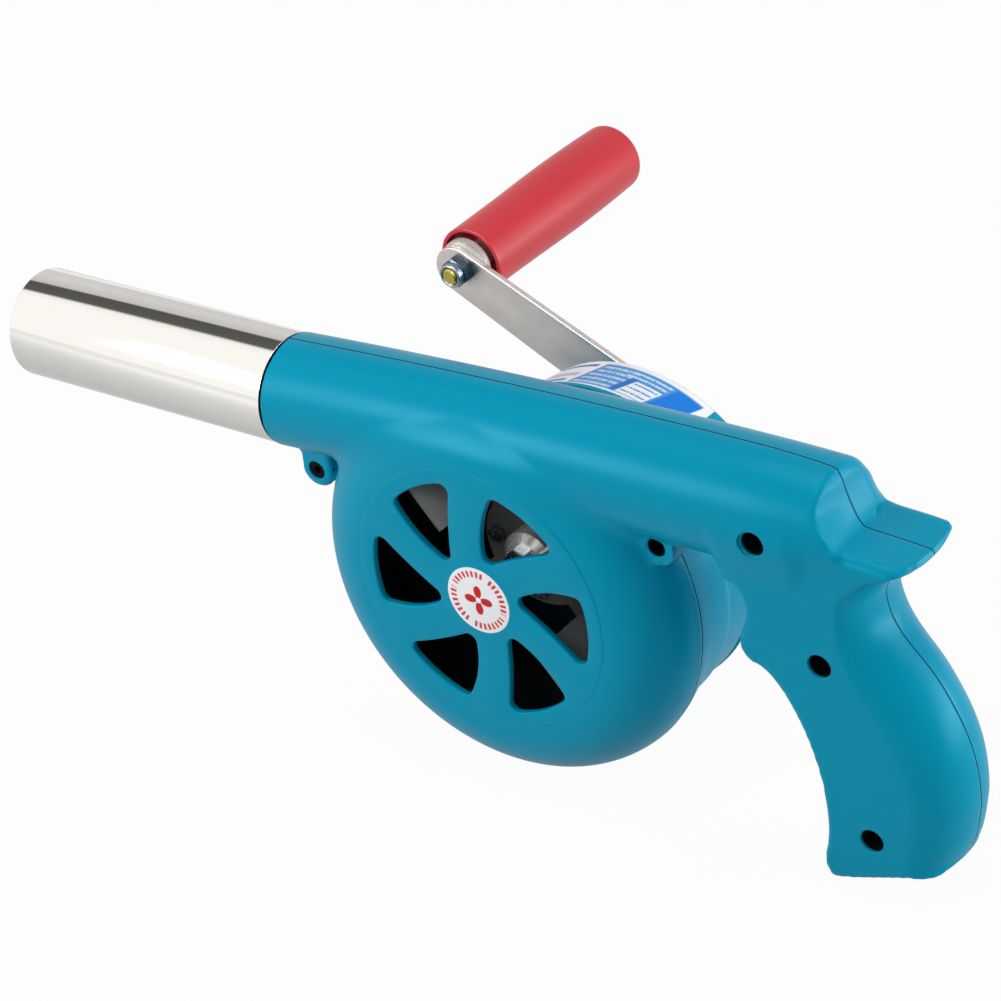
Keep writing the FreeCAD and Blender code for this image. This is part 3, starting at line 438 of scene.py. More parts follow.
def dualContour(field, low, high, step):
    # one vertex per cell that the surface crosses, least squares on the planes at the crossings, so that
    # sharp rims stay sharp; one quad per crossed grid edge
    counts = [int(math.ceil((b - a) / step)) + 1 for a, b in zip(low, high)]
    grid = np.stack(np.meshgrid(*[l + step * np.arange(n) for l, n in zip(low, counts)], indexing="ij"), -1)
    values = inChunks(field, grid.reshape(-1, 3)).reshape(counts)
    solid = values < 0
    cells = np.array(counts) - 1
    strides = np.array([cells[1] * cells[2], cells[2], 1])
    total = int(cells.prod())
    edges = []
    for axis in range(3):
        a = [slice(None)] * 3
        b = [slice(None)] * 3
        a[axis], b[axis] = slice(0, -1), slice(1, None)
        change = solid[tuple(a)] != solid[tuple(b)]
        for other in range(3):
            if other != axis:
                end = [slice(None)] * 3
                end[other] = slice(0, 1)
                change[tuple(end)] = False
                end[other] = slice(-1, None)
                change[tuple(end)] = False
        index = np.argwhere(change)
        after = index.copy()
        after[:, axis] += 1
        p0, p1 = grid[tuple(index.T)], grid[tuple(after.T)]
        v0, v1 = values[tuple(index.T)], values[tuple(after.T)]
        for _ in range(3):
            mid = p0 + (p1 - p0) * (v0 / (v0 - v1))[:, None].clip(0.05, 0.95)
            vm = inChunks(field, mid)
            same = (vm < 0) == (v0 < 0)
            p0, v0 = np.where(same[:, None], mid, p0), np.where(same, vm, v0)
            p1, v1 = np.where(same[:, None], p1, mid), np.where(same, v1, vm)
        point = p0 + (p1 - p0) * (v0 / (v0 - v1))[:, None].clip(0, 1)
        edges.append((axis, index, point, solid[tuple(index.T)]))
    ata = np.zeros((total, 6))
    atb = np.zeros((total, 3))
    mass = np.zeros((total, 3))
    count = np.zeros(total)
    quads = []
    for axis, index, point, inside in edges:
        slope = []
        for k in range(3):
            d = np.zeros(3)
            d[k] = 0.02
            slope.append(inChunks(field, point + d) - inChunks(field, point - d))
        n = np.stack(slope, -1)
        n /= np.maximum(np.linalg.norm(n, axis=1), 1e-9)[:, None]
        u, v = (axis + 1) % 3, (axis + 2) % 3
        corner = []
        for du, dv in ((0, 0), (1, 0), (1, 1), (0, 1)):
            c = index.copy()
            c[:, u] -= du
            c[:, v] -= dv
            corner.append(c @ strides)
        product = (n * point).sum(1)
        outer = np.stack([n[:, 0] ** 2, n[:, 1] ** 2, n[:, 2] ** 2, n[:, 0] * n[:, 1], n[:, 0] * n[:, 2],
                          n[:, 1] * n[:, 2]], -1)
        for c in corner:
            for k in range(6):
                ata[:, k] += np.bincount(c, outer[:, k], total)
            for k in range(3):
                atb[:, k] += np.bincount(c, n[:, k] * product, total)
                mass[:, k] += np.bincount(c, point[:, k], total)
            count += np.bincount(c, minlength=total)
        quad = np.stack(corner, -1)
        quads.append(np.where(inside[:, None], quad[:, ::-1], quad))
    used = np.flatnonzero(count)
    m = mass[used] / count[used][:, None]
    a = ata[used]
    full = np.stack([a[:, 0], a[:, 3], a[:, 4], a[:, 3], a[:, 1], a[:, 5], a[:, 4], a[:, 5], a[:, 2]], -1)
    full = full.reshape(-1, 3, 3)
    rest = atb[used] - np.einsum("nij,nj->ni", full, m)
    w, q = np.linalg.eigh(full)
    inverse = np.where(w > 0.08 * w[:, 2:3], 1 / np.maximum(w, 1e-9), 0)
    shift = np.einsum("nij,nj,nkj,nk->ni", q, inverse, q, rest)
    vertex = m + np.clip(shift, -0.6 * step, 0.6 * step)
    number = np.full(total, -1)
    number[used] = np.arange(len(used))
    quad = number[np.vstack(quads)]
    a, b, c, d = [vertex[quad[:, k]] for k in range(4)]
    # the closed skin's volume tells which way it faces
    if (np.cross(c - a, d - b) * (a + b + c + d)).sum() < 0:
        quad = quad[:, ::-1]
    return vertex, quad


def meshHalf(name, points, quads, keepNear):
    # cut the closed skin at the seam, keep one side, and open it where a piece of its own closes it:
    # at the neck, behind the intake grille and behind the gearbox cover
    h = housing
    mesh = bpy.data.meshes.new(name)
    mesh.from_pydata((points * mm).tolist(), [], quads.tolist())
    bm = bmesh.new()
    bm.from_mesh(mesh)
    side = -1 if keepNear else 1
    geom = bm.verts[:] + bm.edges[:] + bm.faces[:]
    bmesh.ops.bisect_plane(bm, geom=geom, dist=1e-7, plane_co=(0, side * h["seamGap"] * mm, 0),
                           plane_no=(0, -side, 0), clear_outer=True)
    gone = []
    for face in bm.faces:
        c = face.calc_center_median() / mm
        n = face.normal
        fromFan = math.hypot(c.x - fanAxis[0], c.z - fanAxis[1])
        fromDrum = math.hypot(c.x - drumAxis[0], c.z - drumAxis[1])
        neckEnd = c.x < h["barrelStart"] + 0.4 and n.x < -0.8 and math.hypot(c.y, c.z) < h["mouth"]
        intake = keepNear and n.y < -0.8 and -17.5 < c.y < -16.6 and fromFan < h["intakeCut"]
        gearbox = not keepNear and c.y > h["drumDepth"] - 0.4 and n.y > 0.8 and fromDrum < h["drumCut"]
        if neckEnd or intake or gearbox:
            gone.append(face)
    bmesh.ops.delete(bm, geom=gone, context="FACES")
    bm.to_mesh(mesh)
    bm.free()
    obj = link(name, mesh, 38)
    solid = obj.modifiers.new("wall", "SOLIDIFY")
    solid.thickness = h["wall"] * mm
    solid.offset = -1
    # painted shade: the wall's inner faces and its rims at the seam take the second material, the nearly
    # black one
    solid.material_offset = 1
    solid.material_offset_rim = 1
    return obj


skinLow, skinHigh = (91.5, -22.3, -104.0), (313.0, 28.2, 26.0)
skinPoints, skinQuads = dualContour(housingField, skinLow, skinHigh, housing["step"])
print("housing skin", len(skinPoints), "points", len(skinQuads), "quads")
nearShell = meshHalf("near_shell", skinPoints, skinQuads, True)
farShell = meshHalf("far_shell", skinPoints, skinQuads, False)
dress(nearShell, tealAbs, "housing", "intake_shell")
dress(farShell, tealAbs, "housing", "gear_shell")
# the second material is the painted shade of the unlit inside
for shell in (nearShell, farShell):
    shell.data.materials.append(paintedShadeAbs)

# partition between fan chamber and gearbox: radius and y, flat in its middle and bent forward at its rim
partitionProfile = [(7, 17), (39.6, 17), (46.5, 15.6), (49.5, 13.9), (50.5, 15.3), (47.4, 17.2), (39.6, 18.6),
                    (7, 18.6)]
partition = turned("partition", partitionProfile, voluteAxis)
# painted shade: the partition takes the nearly black material that stands for the unlit chamber
dress(partition, paintedShadeAbs, "housing")

# neck that holds the tube, coloured with the painted shade of the dark gap behind the tube's end
neckProfile = [(13.3, 79, 0.4), (15.3, 79, 0.4), (15.3, 96, 0), (13.3, 96, 0)]
neck = turned("neck", rounded(neckProfile), (0, 0), "X")
dress(neck, paintedShadeAbs, "housing")


# flat parts: an outline with holes, given a thickness and small round edges

def flatPart(name, outline, holes, y0, y1, bevel, sharp=40):
    # each loop is carried over a rounded rim: points step along the loop's normal into the material by
    # bevel (1 - sin a) while y moves by bevel (1 - cos a); the two end loops are filled with triangles
    a = np.linspace(0, math.pi / 2, 5)
    inset = np.concatenate([bevel * (1 - np.sin(a)), bevel * (1 - np.sin(a[::-1]))])
    level = np.concatenate([y0 + bevel * (1 - np.cos(a)), y1 - bevel * (1 - np.cos(a[::-1]))])
    bm = bmesh.new()
    for k, loop in enumerate([outline, *holes]):
        loop = np.asarray(loop, float)
        step = np.roll(loop, -1, 0) - np.roll(loop, 1, 0)
        normal = np.stack([-step[:, 1], step[:, 0]], -1) / np.linalg.norm(step, axis=1)[:, None]
        area = (loop[:, 0] * np.roll(loop[:, 1], -1) - np.roll(loop[:, 0], -1) * loop[:, 1]).sum()
        if (area < 0) != (k > 0):
            normal = -normal
        rows = []
        for into, y in zip(inset, level):
            p = loop + normal * into
            rows.append([bm.verts.new((u * mm, y * mm, v * mm)) for u, v in p])
        count = len(loop)
        for r0, r1 in zip(rows[:-1], rows[1:]):
            for i in range(count):
                bm.faces.new((r0[i], r0[(i + 1) % count], r1[(i + 1) % count], r1[i]))
    edges = [e for e in bm.edges if e.is_boundary]
    for y in (y0, y1):
        side = [e for e in edges if all(abs(v.co.y - y * mm) < 1e-7 for v in e.verts)]
        for v in {v for e in side for v in e.verts}:
            v.co = v.co / mm
        bmesh.ops.triangle_fill(bm, use_beauty=True, edges=side, normal=(0, 1, 0))
        for v in {v for e in side for v in e.verts}:
            v.co = v.co * mm
    bmesh.ops.recalc_face_normals(bm, faces=bm.faces)
    mesh = bpy.data.meshes.new(name)
    bm.to_mesh(mesh)
    bm.free()
    return link(name, mesh, sharp)


def ring(centre, radius, count=96, start=0.0, end=2 * math.pi, closed=True):
    t = np.linspace(start, end, count, endpoint=not closed)
    return np.stack([centre[0] + radius * np.cos(t), centre[1] + radius * np.sin(t)], -1)


def bowed(a, b, rise, count=300):
    # arc through a and b that stands off the chord by rise, to the left when rise is positive
    a, b = np.array(a, float), np.array(b, float)
    chord = b - a
    half = np.linalg.norm(chord) / 2
    across = np.array([chord[1], -chord[0]]) / (2 * half) * (1 if rise > 0 else -1)
    rise = abs(rise)
    radius = (half * half + rise * rise) / (2 * rise)
    centre = (a + b) / 2 + across * (rise - radius)
    a0 = math.atan2(*(a - centre)[::-1])
    sweep = (math.atan2(*(b - centre)[::-1]) - a0 + math.pi) % (2 * math.pi) - math.pi
    return ring(centre, radius, count, a0, a0 + sweep, False)


def roundLoop(curves, radius, keep=26):
    # the curves meet end to end; an arc tangent to both is put in at each meeting
    middle = np.vstack(curves).mean(0)
    offsets = []
    for c in curves:
        t = np.gradient(c, axis=0)
        n = np.stack([-t[:, 1], t[:, 0]], -1) / np.linalg.norm(t, axis=1)[:, None]
        if ((middle - c) * n).sum() < 0:
            n = -n
        offsets.append(c + n * radius)
    count = len(curves)
    begin, finish, centres = [0] * count, [0] * count, [None] * count
    for i in range(count):
        j = (i + 1) % count
        gap = np.linalg.norm(offsets[i][:, None] - offsets[j][None], axis=-1)
        finish[i], begin[j] = np.unravel_index(gap.argmin(), gap.shape)
        centres[i] = (offsets[i][finish[i]] + offsets[j][begin[j]]) / 2
    out = []
    for i in range(count):
        j = (i + 1) % count
        pick = np.linspace(begin[i], finish[i], keep).round().astype(int)
        out.append(curves[i][pick])
        a, b = curves[i][finish[i]] - centres[i], curves[j][begin[j]] - centres[i]
        a0 = math.atan2(a[1], a[0])
        sweep = (math.atan2(b[1], b[0]) - a0 + math.pi) % (2 * math.pi) - math.pi
        out.append(ring(centres[i], radius, 10, a0, a0 + sweep, False)[1:-1])
    return np.vstack(out)


# intake grille with six swirl openings, and the label in its middle

grille = {
    "radius": 40.65, "face": -19.32, "thick": 2.3, "round": 0.6, "slots": 6,
    # each slot runs from its tip to an arc between two angles off its middle line
    "turn": 57.5, "tip": 11.75, "tipTurn": 15.8, "reach": 35.6, "leftTurn": 18.7, "rightTurn": -19.0,
    "leftBulge": -2.2, "rightBulge": 0.7, "corner": 2.4,
}


def swirlSlot(k):
    g = grille
    middle = g["turn"] + 360 / g["slots"] * k

    def at(radius, extra):
        a = math.radians(middle + extra)
        return (fanAxis[0] + radius * math.cos(a), fanAxis[1] + radius * math.sin(a))

    tip = at(g["tip"], g["tipTurn"])
    left, right = at(g["reach"], g["leftTurn"]), at(g["reach"], g["rightTurn"])
    a0, a1 = math.radians(middle + g["leftTurn"]), math.radians(middle + g["rightTurn"])
    outer = ring(fanAxis, g["reach"], 300, a0, a1, False)
    sides = [bowed(tip, left, g["leftBulge"]), outer, bowed(right, tip, g["rightBulge"])]
    return roundLoop(sides, g["corner"])


slots = [swirlSlot(k) for k in range(grille["slots"])]
grilleFace = flatPart("grille_face", ring(fanAxis, grille["radius"], 160), slots, grille["face"],
                      grille["face"] + grille["thick"], grille["round"])
dress(grilleFace, tealAbs, "housing")

# floor of the thin groove round the grille
grooveProfile = [(39.4, -18.5), (41.2, -18.5), (41.2, -17.2), (39.4, -17.2)]
grooveFloor = turned("groove_floor", grooveProfile, fanAxis)
dress(grooveFloor, tealAbs, "housing")

# screw recesses: a lipped well with a hole in its seat, and the dark shade that lines it
screwWell = {"name": "screw", "radius": housing["recess"], "proud": 0.05, "mouthRound": 0.45, "hole": 1.7,
             "wall": 1.3, "lip": 0.7, "shadeTop": 0.8}
lugWell = {"name": "lug", "radius": housing["lugRecess"], "proud": 0.04, "mouthRound": 0.35, "hole": 1.6,
           "wall": 1.1, "lip": 0.5, "shadeTop": 0.5}
seat = {"front": housing["seatY"], "back": -2.2, "shadeFoot": -3.3, "shade": 0.12}


def makeWell(w, number, x, z, face):
    r, top = w["radius"], face - w["proud"]
    profile = [(r, top, w["mouthRound"]), (r, seat["front"], 0), (w["hole"], seat["front"], 0),
               (w["hole"], seat["back"], 0), (r + w["wall"], seat["back"], 0), (r + w["wall"], face + 0.7, 0),
               (r + w["lip"], top, 0.2)]
    well = turned("%s_well_%d" % (w["name"], number), rounded(profile), (x, z), segments=64)
    dress(well, tealAbs, "housing")
    inner = r - seat["shade"]
    profile = [(r, face + w["shadeTop"]), (inner, face + w["shadeTop"] + 0.1), (inner, seat["shadeFoot"]),
               (r, seat["shadeFoot"])]
    shade = turned("%s_shade_%d" % (w["name"], number), profile, (x, z), segments=64)
    dress(shade, paintedShadeAbs, "housing")


for i, (x, z, face) in enumerate(recesses):
    makeWell(screwWell, i + 1, x, z, face)
for i, ((x, z), half) in enumerate(((frontLug, housing["lugHalf"]), (rearLug, housing["rearHalf"]))):
    makeWell(lugWell, i + 1, x, z, -half)
print("housing dressed")

# nozzle tube
tube = {"outer": 16.0, "inner": 15.4, "end": 94.0, "lip": 0.25}
nozzle = turned("nozzle", rounded([(tube["inner"], 0, tube["lip"]), (tube["outer"], 0, tube["lip"]),
                                   (tube["outer"], tube["end"], 0.1), (tube["inner"], tube["end"], 0.1)], 4),
                (0, 0), "X", 160)
dress(nozzle, stainless, "housing", "nozzle_tube")

# gearbox cover with the crank boss
cover = {"root": 46.8, "end": 43.5, "front": 25.5, "back": 47.7, "round": 1.8, "rim": 47.5, "spigot": 44.6,
         "bore": 43.0, "bossRoot": 14.5, "bossTip": 9.5, "bossFoot": 17.5, "bossEnd": 58.0}
# outside from the middle of the back to the rim at the gap, then the spigot and the inside
coverProfile = [
    (0, cover["back"], 0), (cover["end"], cover["back"], cover["round"]), (46.7, 27.3, 0.2),
    (cover["rim"], 27.0, 0.3), (cover["rim"], cover["front"], 0.4), (cover["spigot"], cover["front"], 0),
    (cover["spigot"], 22, 0), (cover["bore"], 22, 0), (cover["bore"], 27, 0), (41.4, 45.0, 1), (0, 45.5, 0)]
gearCover = turned("gear_cover", rounded(coverProfile, 8), drumAxis, segments=180)
dress(gearCover, tealAbs, "housing", "gearbox_cover")
bossProfile = [
    (0, cover["bossEnd"], 0), (cover["bossTip"], cover["bossEnd"], 1.5),
    (cover["bossRoot"], cover["back"] + 0.4, 2.0), (cover["bossFoot"], cover["back"] - 0.3, 0),
    (cover["bossFoot"], 47, 0), (0, 47, 0)]
boss = turned("crank_boss", rounded(bossProfile, 8), crankAxis)
dress(boss, tealAbs, "housing")

# round label on the intake hub: a white disc with a broken ring of red ticks and four red petals
label = {"radius": 10.25, "front": -19.45, "back": -19.2, "ticks": 34.0, "tickIn": 7.3, "tickOut": 9.2,
         "groups": 4.0, "petal": 4.6, "petalStart": 0.9}


def maskAbove(tree, value, low, soft):
    # 1 where the value lies above low, with a soft edge
    return addNode(tree, "MapRange", {"Value": value, "From Min": low - soft, "From Max": low + soft})


def both(tree, first, second):
    return addNode(tree, "Math", {0: first, 1: second}, operation="MULTIPLY")


def maskBetween(tree, value, low, high, soft):
    below = addNode(tree, "MapRange", {"Value": value, "From Min": high + soft, "From Max": high - soft})
    return both(tree, maskAbove(tree, value, low, soft), below)


def printedPaper(name):
    # coated paper, slightly glossy: faint unevenness in the white, and the print is painted over it
    material, tree, shader, place = newMaterial(name)
    cloud = addNode(tree, "TexNoise", {"Vector": place, "Scale": 90.0})
    shader.inputs["Roughness"].default_value = 0.3
    shader.inputs["Specular IOR Level"].default_value = 0.2
    return material, tree, shader, place, paint(tree, linear("#FAFBFC"), cloud, "#F0F2F5")


def labelMaterial():
    # drawn from the distance and the angle round the fan's axis
    material, tree, shader, place, colour = printedPaper("printed label")
    toAxis = (-fanAxis[0] * mm, 0, -fanAxis[1] * mm)
    centred = addNode(tree, "VectorMath", {0: place, 1: toAxis}, operation="ADD")
    xyz = addNode(tree, "SeparateXYZ", {0: centred}).outputs
    flat = addNode(tree, "CombineXYZ", {"X": xyz["X"], "Y": xyz["Z"]})
    radius = addNode(tree, "VectorMath", {0: flat}, operation="LENGTH").outputs["Value"]
    turn = addNode(tree, "Math", {0: xyz["Z"], 1: xyz["X"]}, operation="ARCTAN2")

    def wave(kind, count):
        angle = addNode(tree, "Math", {0: turn, 1: count}, operation="MULTIPLY")
        return addNode(tree, "Math", {0: angle}, operation=kind)

    uneven = addNode(tree, "TexNoise", {"Vector": flat, "Scale": 700.0})
    ticks = addNode(tree, "Math", {0: uneven, 1: 1.4, 2: wave("SINE", label["ticks"])},
                    operation="MULTIPLY_ADD")
    inRing = maskBetween(tree, radius, label["tickIn"] * mm, label["tickOut"] * mm, 0.1 * mm)
    marks = both(tree, maskAbove(tree, ticks, 0.55, 0.15), inRing)
    marks = both(tree, marks, maskAbove(tree, wave("SINE", label["groups"]), -0.93, 0.02))
    colour = paint(tree, colour, marks, "#D9434C")
    petals = addNode(tree, "Math", {0: wave("COSINE", 2.0)}, operation="ABSOLUTE")
    reach = addNode(tree, "Math", {0: petals, 1: label["petal"] * mm}, operation="MULTIPLY")
    inPetal = addNode(tree, "Math", {0: reach, 1: radius}, operation="SUBTRACT")
    flower = both(tree, maskAbove(tree, inPetal, 0.0, 0.12 * mm),
                  maskAbove(tree, radius, label["petalStart"] * mm, 0.1 * mm))
    colour = paint(tree, colour, flower, "#D0202C")
    tree.links.new(colour, shader.inputs["Base Color"])
    return material


discProfile = [(0, label["front"], 0), (label["radius"], label["front"], 0.1),
               (label["radius"], label["back"], 0), (0, label["back"], 0)]
disc = turned("hub_label", rounded(discProfile, 3), fanAxis, segments=96)
dress(disc, labelMaterial(), "housing", "intake_label")

# sticker on the cover's wall: a patch of its cone between two angles and two depths, a little off the wall
sticker = {"from": 122.5, "to": 54.0, "low": 27.6, "high": 46.55, "lift": 0.16, "backLift": 0.02,
           "across": 60, "up": 14, "slant": -0.07}


def stickerPatch():
    # two sheets of points, joined at their rim, with a UV map that runs across and up the print
    u, v = np.meshgrid(np.linspace(0, 1, sticker["across"]), np.linspace(0, 1, sticker["up"]), indexing="ij")
    t = np.radians(sticker["from"] + (sticker["to"] - sticker["from"]) * u)
    y = sticker["low"] + (sticker["high"] - sticker["low"]) * v
    slope = (cover["root"] - cover["end"]) / (cover["back"] - cover["front"])
    wall = cover["root"] - slope * (y - cover["front"])
    bend = np.clip(y - (cover["back"] - cover["round"] + 0.1), 0, cover["round"])
    wall = wall - (cover["round"] - np.sqrt(cover["round"] ** 2 - bend ** 2))
    sheets = []
    for lift in (sticker["lift"], sticker["backLift"]):
        x, z = drumAxis[0] + (wall + lift) * np.cos(t), drumAxis[1] + (wall + lift) * np.sin(t)
        sheets.append(np.stack([x, y, z], -1).reshape(-1, 3))
    count, n = u.size, sticker["up"]
    i, j = np.meshgrid(np.arange(sticker["across"] - 1), np.arange(n - 1), indexing="ij")
    corner = i.ravel() * n + j.ravel()
    front = np.stack([corner, corner + 1, corner + n + 1, corner + n], -1)
    last = (sticker["across"] - 1) * n
    around = np.concatenate([np.arange(n), np.arange(1, sticker["across"]) * n + n - 1,
                             last + np.arange(n - 2, -1, -1), np.arange(sticker["across"] - 2, -1, -1) * n])
    rim = np.stack([around[:-1], around[1:], around[1:] + count, around[:-1] + count], -1)
    patch = newMesh("cover_sticker", np.vstack(sheets), np.vstack([front, front + count, rim]).tolist(), 50)
    corners = np.empty(len(patch.data.loops), np.int32)
    patch.data.loops.foreach_get("vertex_index", corners)
    spots = np.empty(len(patch.data.vertices) * 3)
    patch.data.vertices.foreach_get("co", spots)
    spots = spots.reshape(-1, 3)[corners] / mm
    angle = np.degrees(np.arctan2(spots[:, 2] - drumAxis[1], spots[:, 0] - drumAxis[0]))
    layout = np.stack([(angle - sticker["from"]) / (sticker["to"] - sticker["from"]),
                       (spots[:, 1] - sticker["low"]) / (sticker["high"] - sticker["low"])], -1)
    patch.data.uv_layers.new(name="print").data.foreach_set("uv", layout.ravel())
    return patch


def stickerMaterial():
    # plain blocks and rows of broken bars that stand for print, placed by shares of the sticker's two sides
    material, tree, shader, _, colour = printedPaper("printed sticker")
    layer = addNode(tree, "UVMap", uv_map="print")
    xy = addNode(tree, "SeparateXYZ", {0: layer})
    across, up = xy.outputs["X"], xy.outputs["Y"]
    slanted = addNode(tree, "Math", {0: up, 1: sticker["slant"], 2: across}, operation="MULTIPLY_ADD")
    stretched = addNode(tree, "Mapping", {"Vector": layer, "Scale": (90.0, 9.0, 1.0)})
    broken = addNode(tree, "TexNoise", {"Vector": stretched, "Scale": 1.0, "Detail": 1.0})
    bars = maskAbove(tree, broken, 0.4, 0.04)

    def block(u0, u1, v0, v1, source=slanted):
        return both(tree, maskBetween(tree, source, u0, u1, 0.004), maskBetween(tree, up, v0, v1, 0.015))

    def rowsOfBars(start, pitch, width):
        # rows that repeat up the sticker
        row = addNode(tree, "Math", {0: up, 1: 1 / pitch, 2: -start / pitch}, operation="MULTIPLY_ADD")
        phase = addNode(tree, "Math", {0: row}, operation="FRACT")
        return both(tree, maskBetween(tree, phase, 0.0, width, 0.06), bars)

    prints = [
        (block(0.05, 0.30, 0.76, 0.86, across), None, "#3F6FB8"),
        (block(0.05, 0.27, 0.36, 0.50, across), None, "#B9BEDC"),
        (block(0.05, 0.25, 0.14, 0.24, across), None, "#5C86C6"),
        (block(0.28, 0.89, 0.08, 0.88), None, "#4596DC"),
        (block(0.30, 0.52, 0.12, 0.86), rowsOfBars(0.12, 0.15, 0.5), "#C3DAF2"),
        (block(0.47, 0.72, 0.62, 0.86), rowsOfBars(0.62, 0.125, 0.5), "#CBDFF4"),
        (block(0.56, 0.72, 0.10, 0.55), None, "#F1F6FB"),
        (block(0.57, 0.71, 0.14, 0.50), rowsOfBars(0.17, 0.14, 0.34), "#6F9AD2"),
        (block(0.52, 0.56, 0.10, 0.60), None, "#1F6FC9"),
        (block(0.735, 0.89, 0.10, 0.84), None, "#0E7CE0"),
    ]
    for mask, rows, ink in prints:
        if rows:
            mask = both(tree, mask, rows)
        colour = paint(tree, colour, mask, ink)
    tree.links.new(colour, shader.inputs["Base Color"])
    return material


dress(stickerPatch(), stickerMaterial(), "housing", "drum_sticker")

# crank arm: a strip that narrows towards the handle, both ends round, its pin hole off the middle line
arm = {"front": 63.4, "back": 65.4, "hub": 8.9, "tip": 7.1, "hubOff": 0.4, "tipOff": 2.1, "past": 1.4,
       "bevel": 0.3, "hole": 4.0, "pin": 2.45}


def armOutline():
    # two end arcs joined by their common tangents, first as (along, across) from the crank's axis
    length = math.dist(crankAxis, handleAxis)
    lean = math.atan2(handleAxis[1] - crankAxis[1], handleAxis[0] - crankAxis[0])
    hub, tip = np.array([0, arm["hubOff"]]), np.array([length + arm["past"], arm["tipOff"]])
    turn = math.atan2(*(tip - hub)[::-1])
    spread = math.acos((arm["hub"] - arm["tip"]) / np.linalg.norm(tip - hub))
    tipEnd = ring(tip, arm["tip"], 40, turn - spread, turn + spread, False)
    hubEnd = ring(hub, arm["hub"], 48, turn + spread, turn + 2 * math.pi - spread, False)
    points = np.vstack([tipEnd, hubEnd])
    along = np.array([math.cos(lean), math.sin(lean)])
    across = np.array([-along[1], along[0]])
    return np.array(crankAxis) + points[:, :1] * along + points[:, 1:] * across


armHoles = [ring(crankAxis, arm["hole"], 48), ring(handleAxis, arm["pin"], 40)]
strip = flatPart("arm_strip", armOutline(), armHoles, arm["front"], arm["back"], arm["bevel"])
dress(strip, armSheet, "crank", "crank_arm")

# handle: open at the arm end, fullest past its middle, with a plug in the far end
handle = {"mouth": 9.1, "near": 67.9, "mouthEnd": 76.9, "far": 141.8, "radius": 10.4, "swell": 10.95,
          "swellAt": 112.0, "tip": 10.45, "lip": 0.45, "round": 2.0, "bore": 2.55, "plug": 7.0,
          "plugDepth": 8.4}


def handleProfile():
    h = handle
    swell = smoothLine([(h["radius"], h["near"] + 1.5), (10.55, 88), (h["swell"], h["swellAt"]), (10.75, 130),
                        (h["tip"], h["far"] - 2.4)], 8)
    start = rounded([(h["mouth"], h["mouthEnd"], 0.5), (h["mouth"], h["near"], 0.35),
                     (h["radius"], h["near"], h["lip"]), (h["radius"], h["near"] + 1.4, 0)], 5)
    plugEnd = h["far"] - h["plugDepth"]
    end = rounded([(h["tip"], h["far"] - 2.2, 0), (h["tip"], h["far"], h["round"]),
                   (h["plug"], h["far"], 0.3), (h["plug"], plugEnd, 0), (h["bore"], plugEnd, 0),
                   (h["bore"], h["mouthEnd"], 0)], 6)
    return np.vstack([start, swell, end])


grasp = turned("handle_tube", handleProfile(), handleAxis, segments=128)
dress(grasp, redPlastic, "handle", "crank_handle")

# locking nut on the arm's near side: a hexagon, its corners cut by a shallow cone, and a round collar
nut = {"front": 59.6, "across": 8.0, "bore": 2.45, "turn": 10.0, "chamfer": 0.35, "ridge": 0.45, "cut": 30,
       "segments": 96}


def hexNut(name, axis, y0, y1):
    flat, bore, n = nut["across"] / 2, nut["bore"], nut["segments"]
    t = np.linspace(0, 2 * math.pi, n, endpoint=False)
    corner = flat / np.cos((t + math.pi / 6) % (math.pi / 3) - math.pi / 6)
    face = flat * 0.96
    drop = (corner - face) * math.tan(math.radians(nut["cut"]))
    profile = [(bore, y0 + nut["chamfer"]), (bore + nut["ridge"], y0), (face, y0), (corner, y0 + drop),
               (corner, y1 - drop), (face, y1), (bore + nut["ridge"], y1), (bore, y1 - nut["chamfer"])]
    r = np.array([radius + 0 * t for radius, _ in profile])
    y = np.array([height + 0 * t for _, height in profile])
    c, s = np.cos(t + math.radians(nut["turn"])), np.sin(t + math.radians(nut["turn"]))
    points = np.stack([axis[0] + r * c, y, axis[1] + r * s], -1)
    return newMesh(name, points.reshape(-1, 3), wrapQuads(len(profile), n), 25)


lockNut = hexNut("bolt_nut", handleAxis, nut["front"], arm["front"])
dress(lockNut, darkZinc, "crank", "spindle_nut")
collarProfile = [(2.5, 57.9, 0.2), (2.9, 57.5, 0.2), (3.65, 57.5, 0.55), (3.65, 60.0, 0), (2.5, 60.0, 0)]
collar = turned("nut_collar", rounded(collarProfile), handleAxis, segments=64)
dress(collar, zincPlate, "crank")
print("handle, arm and cover made")


def shadeIntakeSide(material, ink):
    # painted shade: faces that look towards the intake, along minus Y, are darkened with the ink, for the
    # shade inside the fan chamber
    tree = material.node_tree
    base = tree.nodes["Principled BSDF"].inputs["Base Color"]
    normal = addNode(tree, "TexCoord").outputs["Normal"]
    facing = addNode(tree, "SeparateXYZ", {0: normal}).outputs["Y"]
    intakeSide = addNode(tree, "MapRange", {"Value": facing, "From Min": -0.9, "From Max": -0.7,
                                        "To Min": 1.0, "To Max": 0.0})
    tree.links.new(paint(tree, base.links[0].from_socket, intakeSide, ink), base)


# painted shade on the side of the wheel that faces the intake
shadeIntakeSide(wheelSheet, "#5E5D5B")

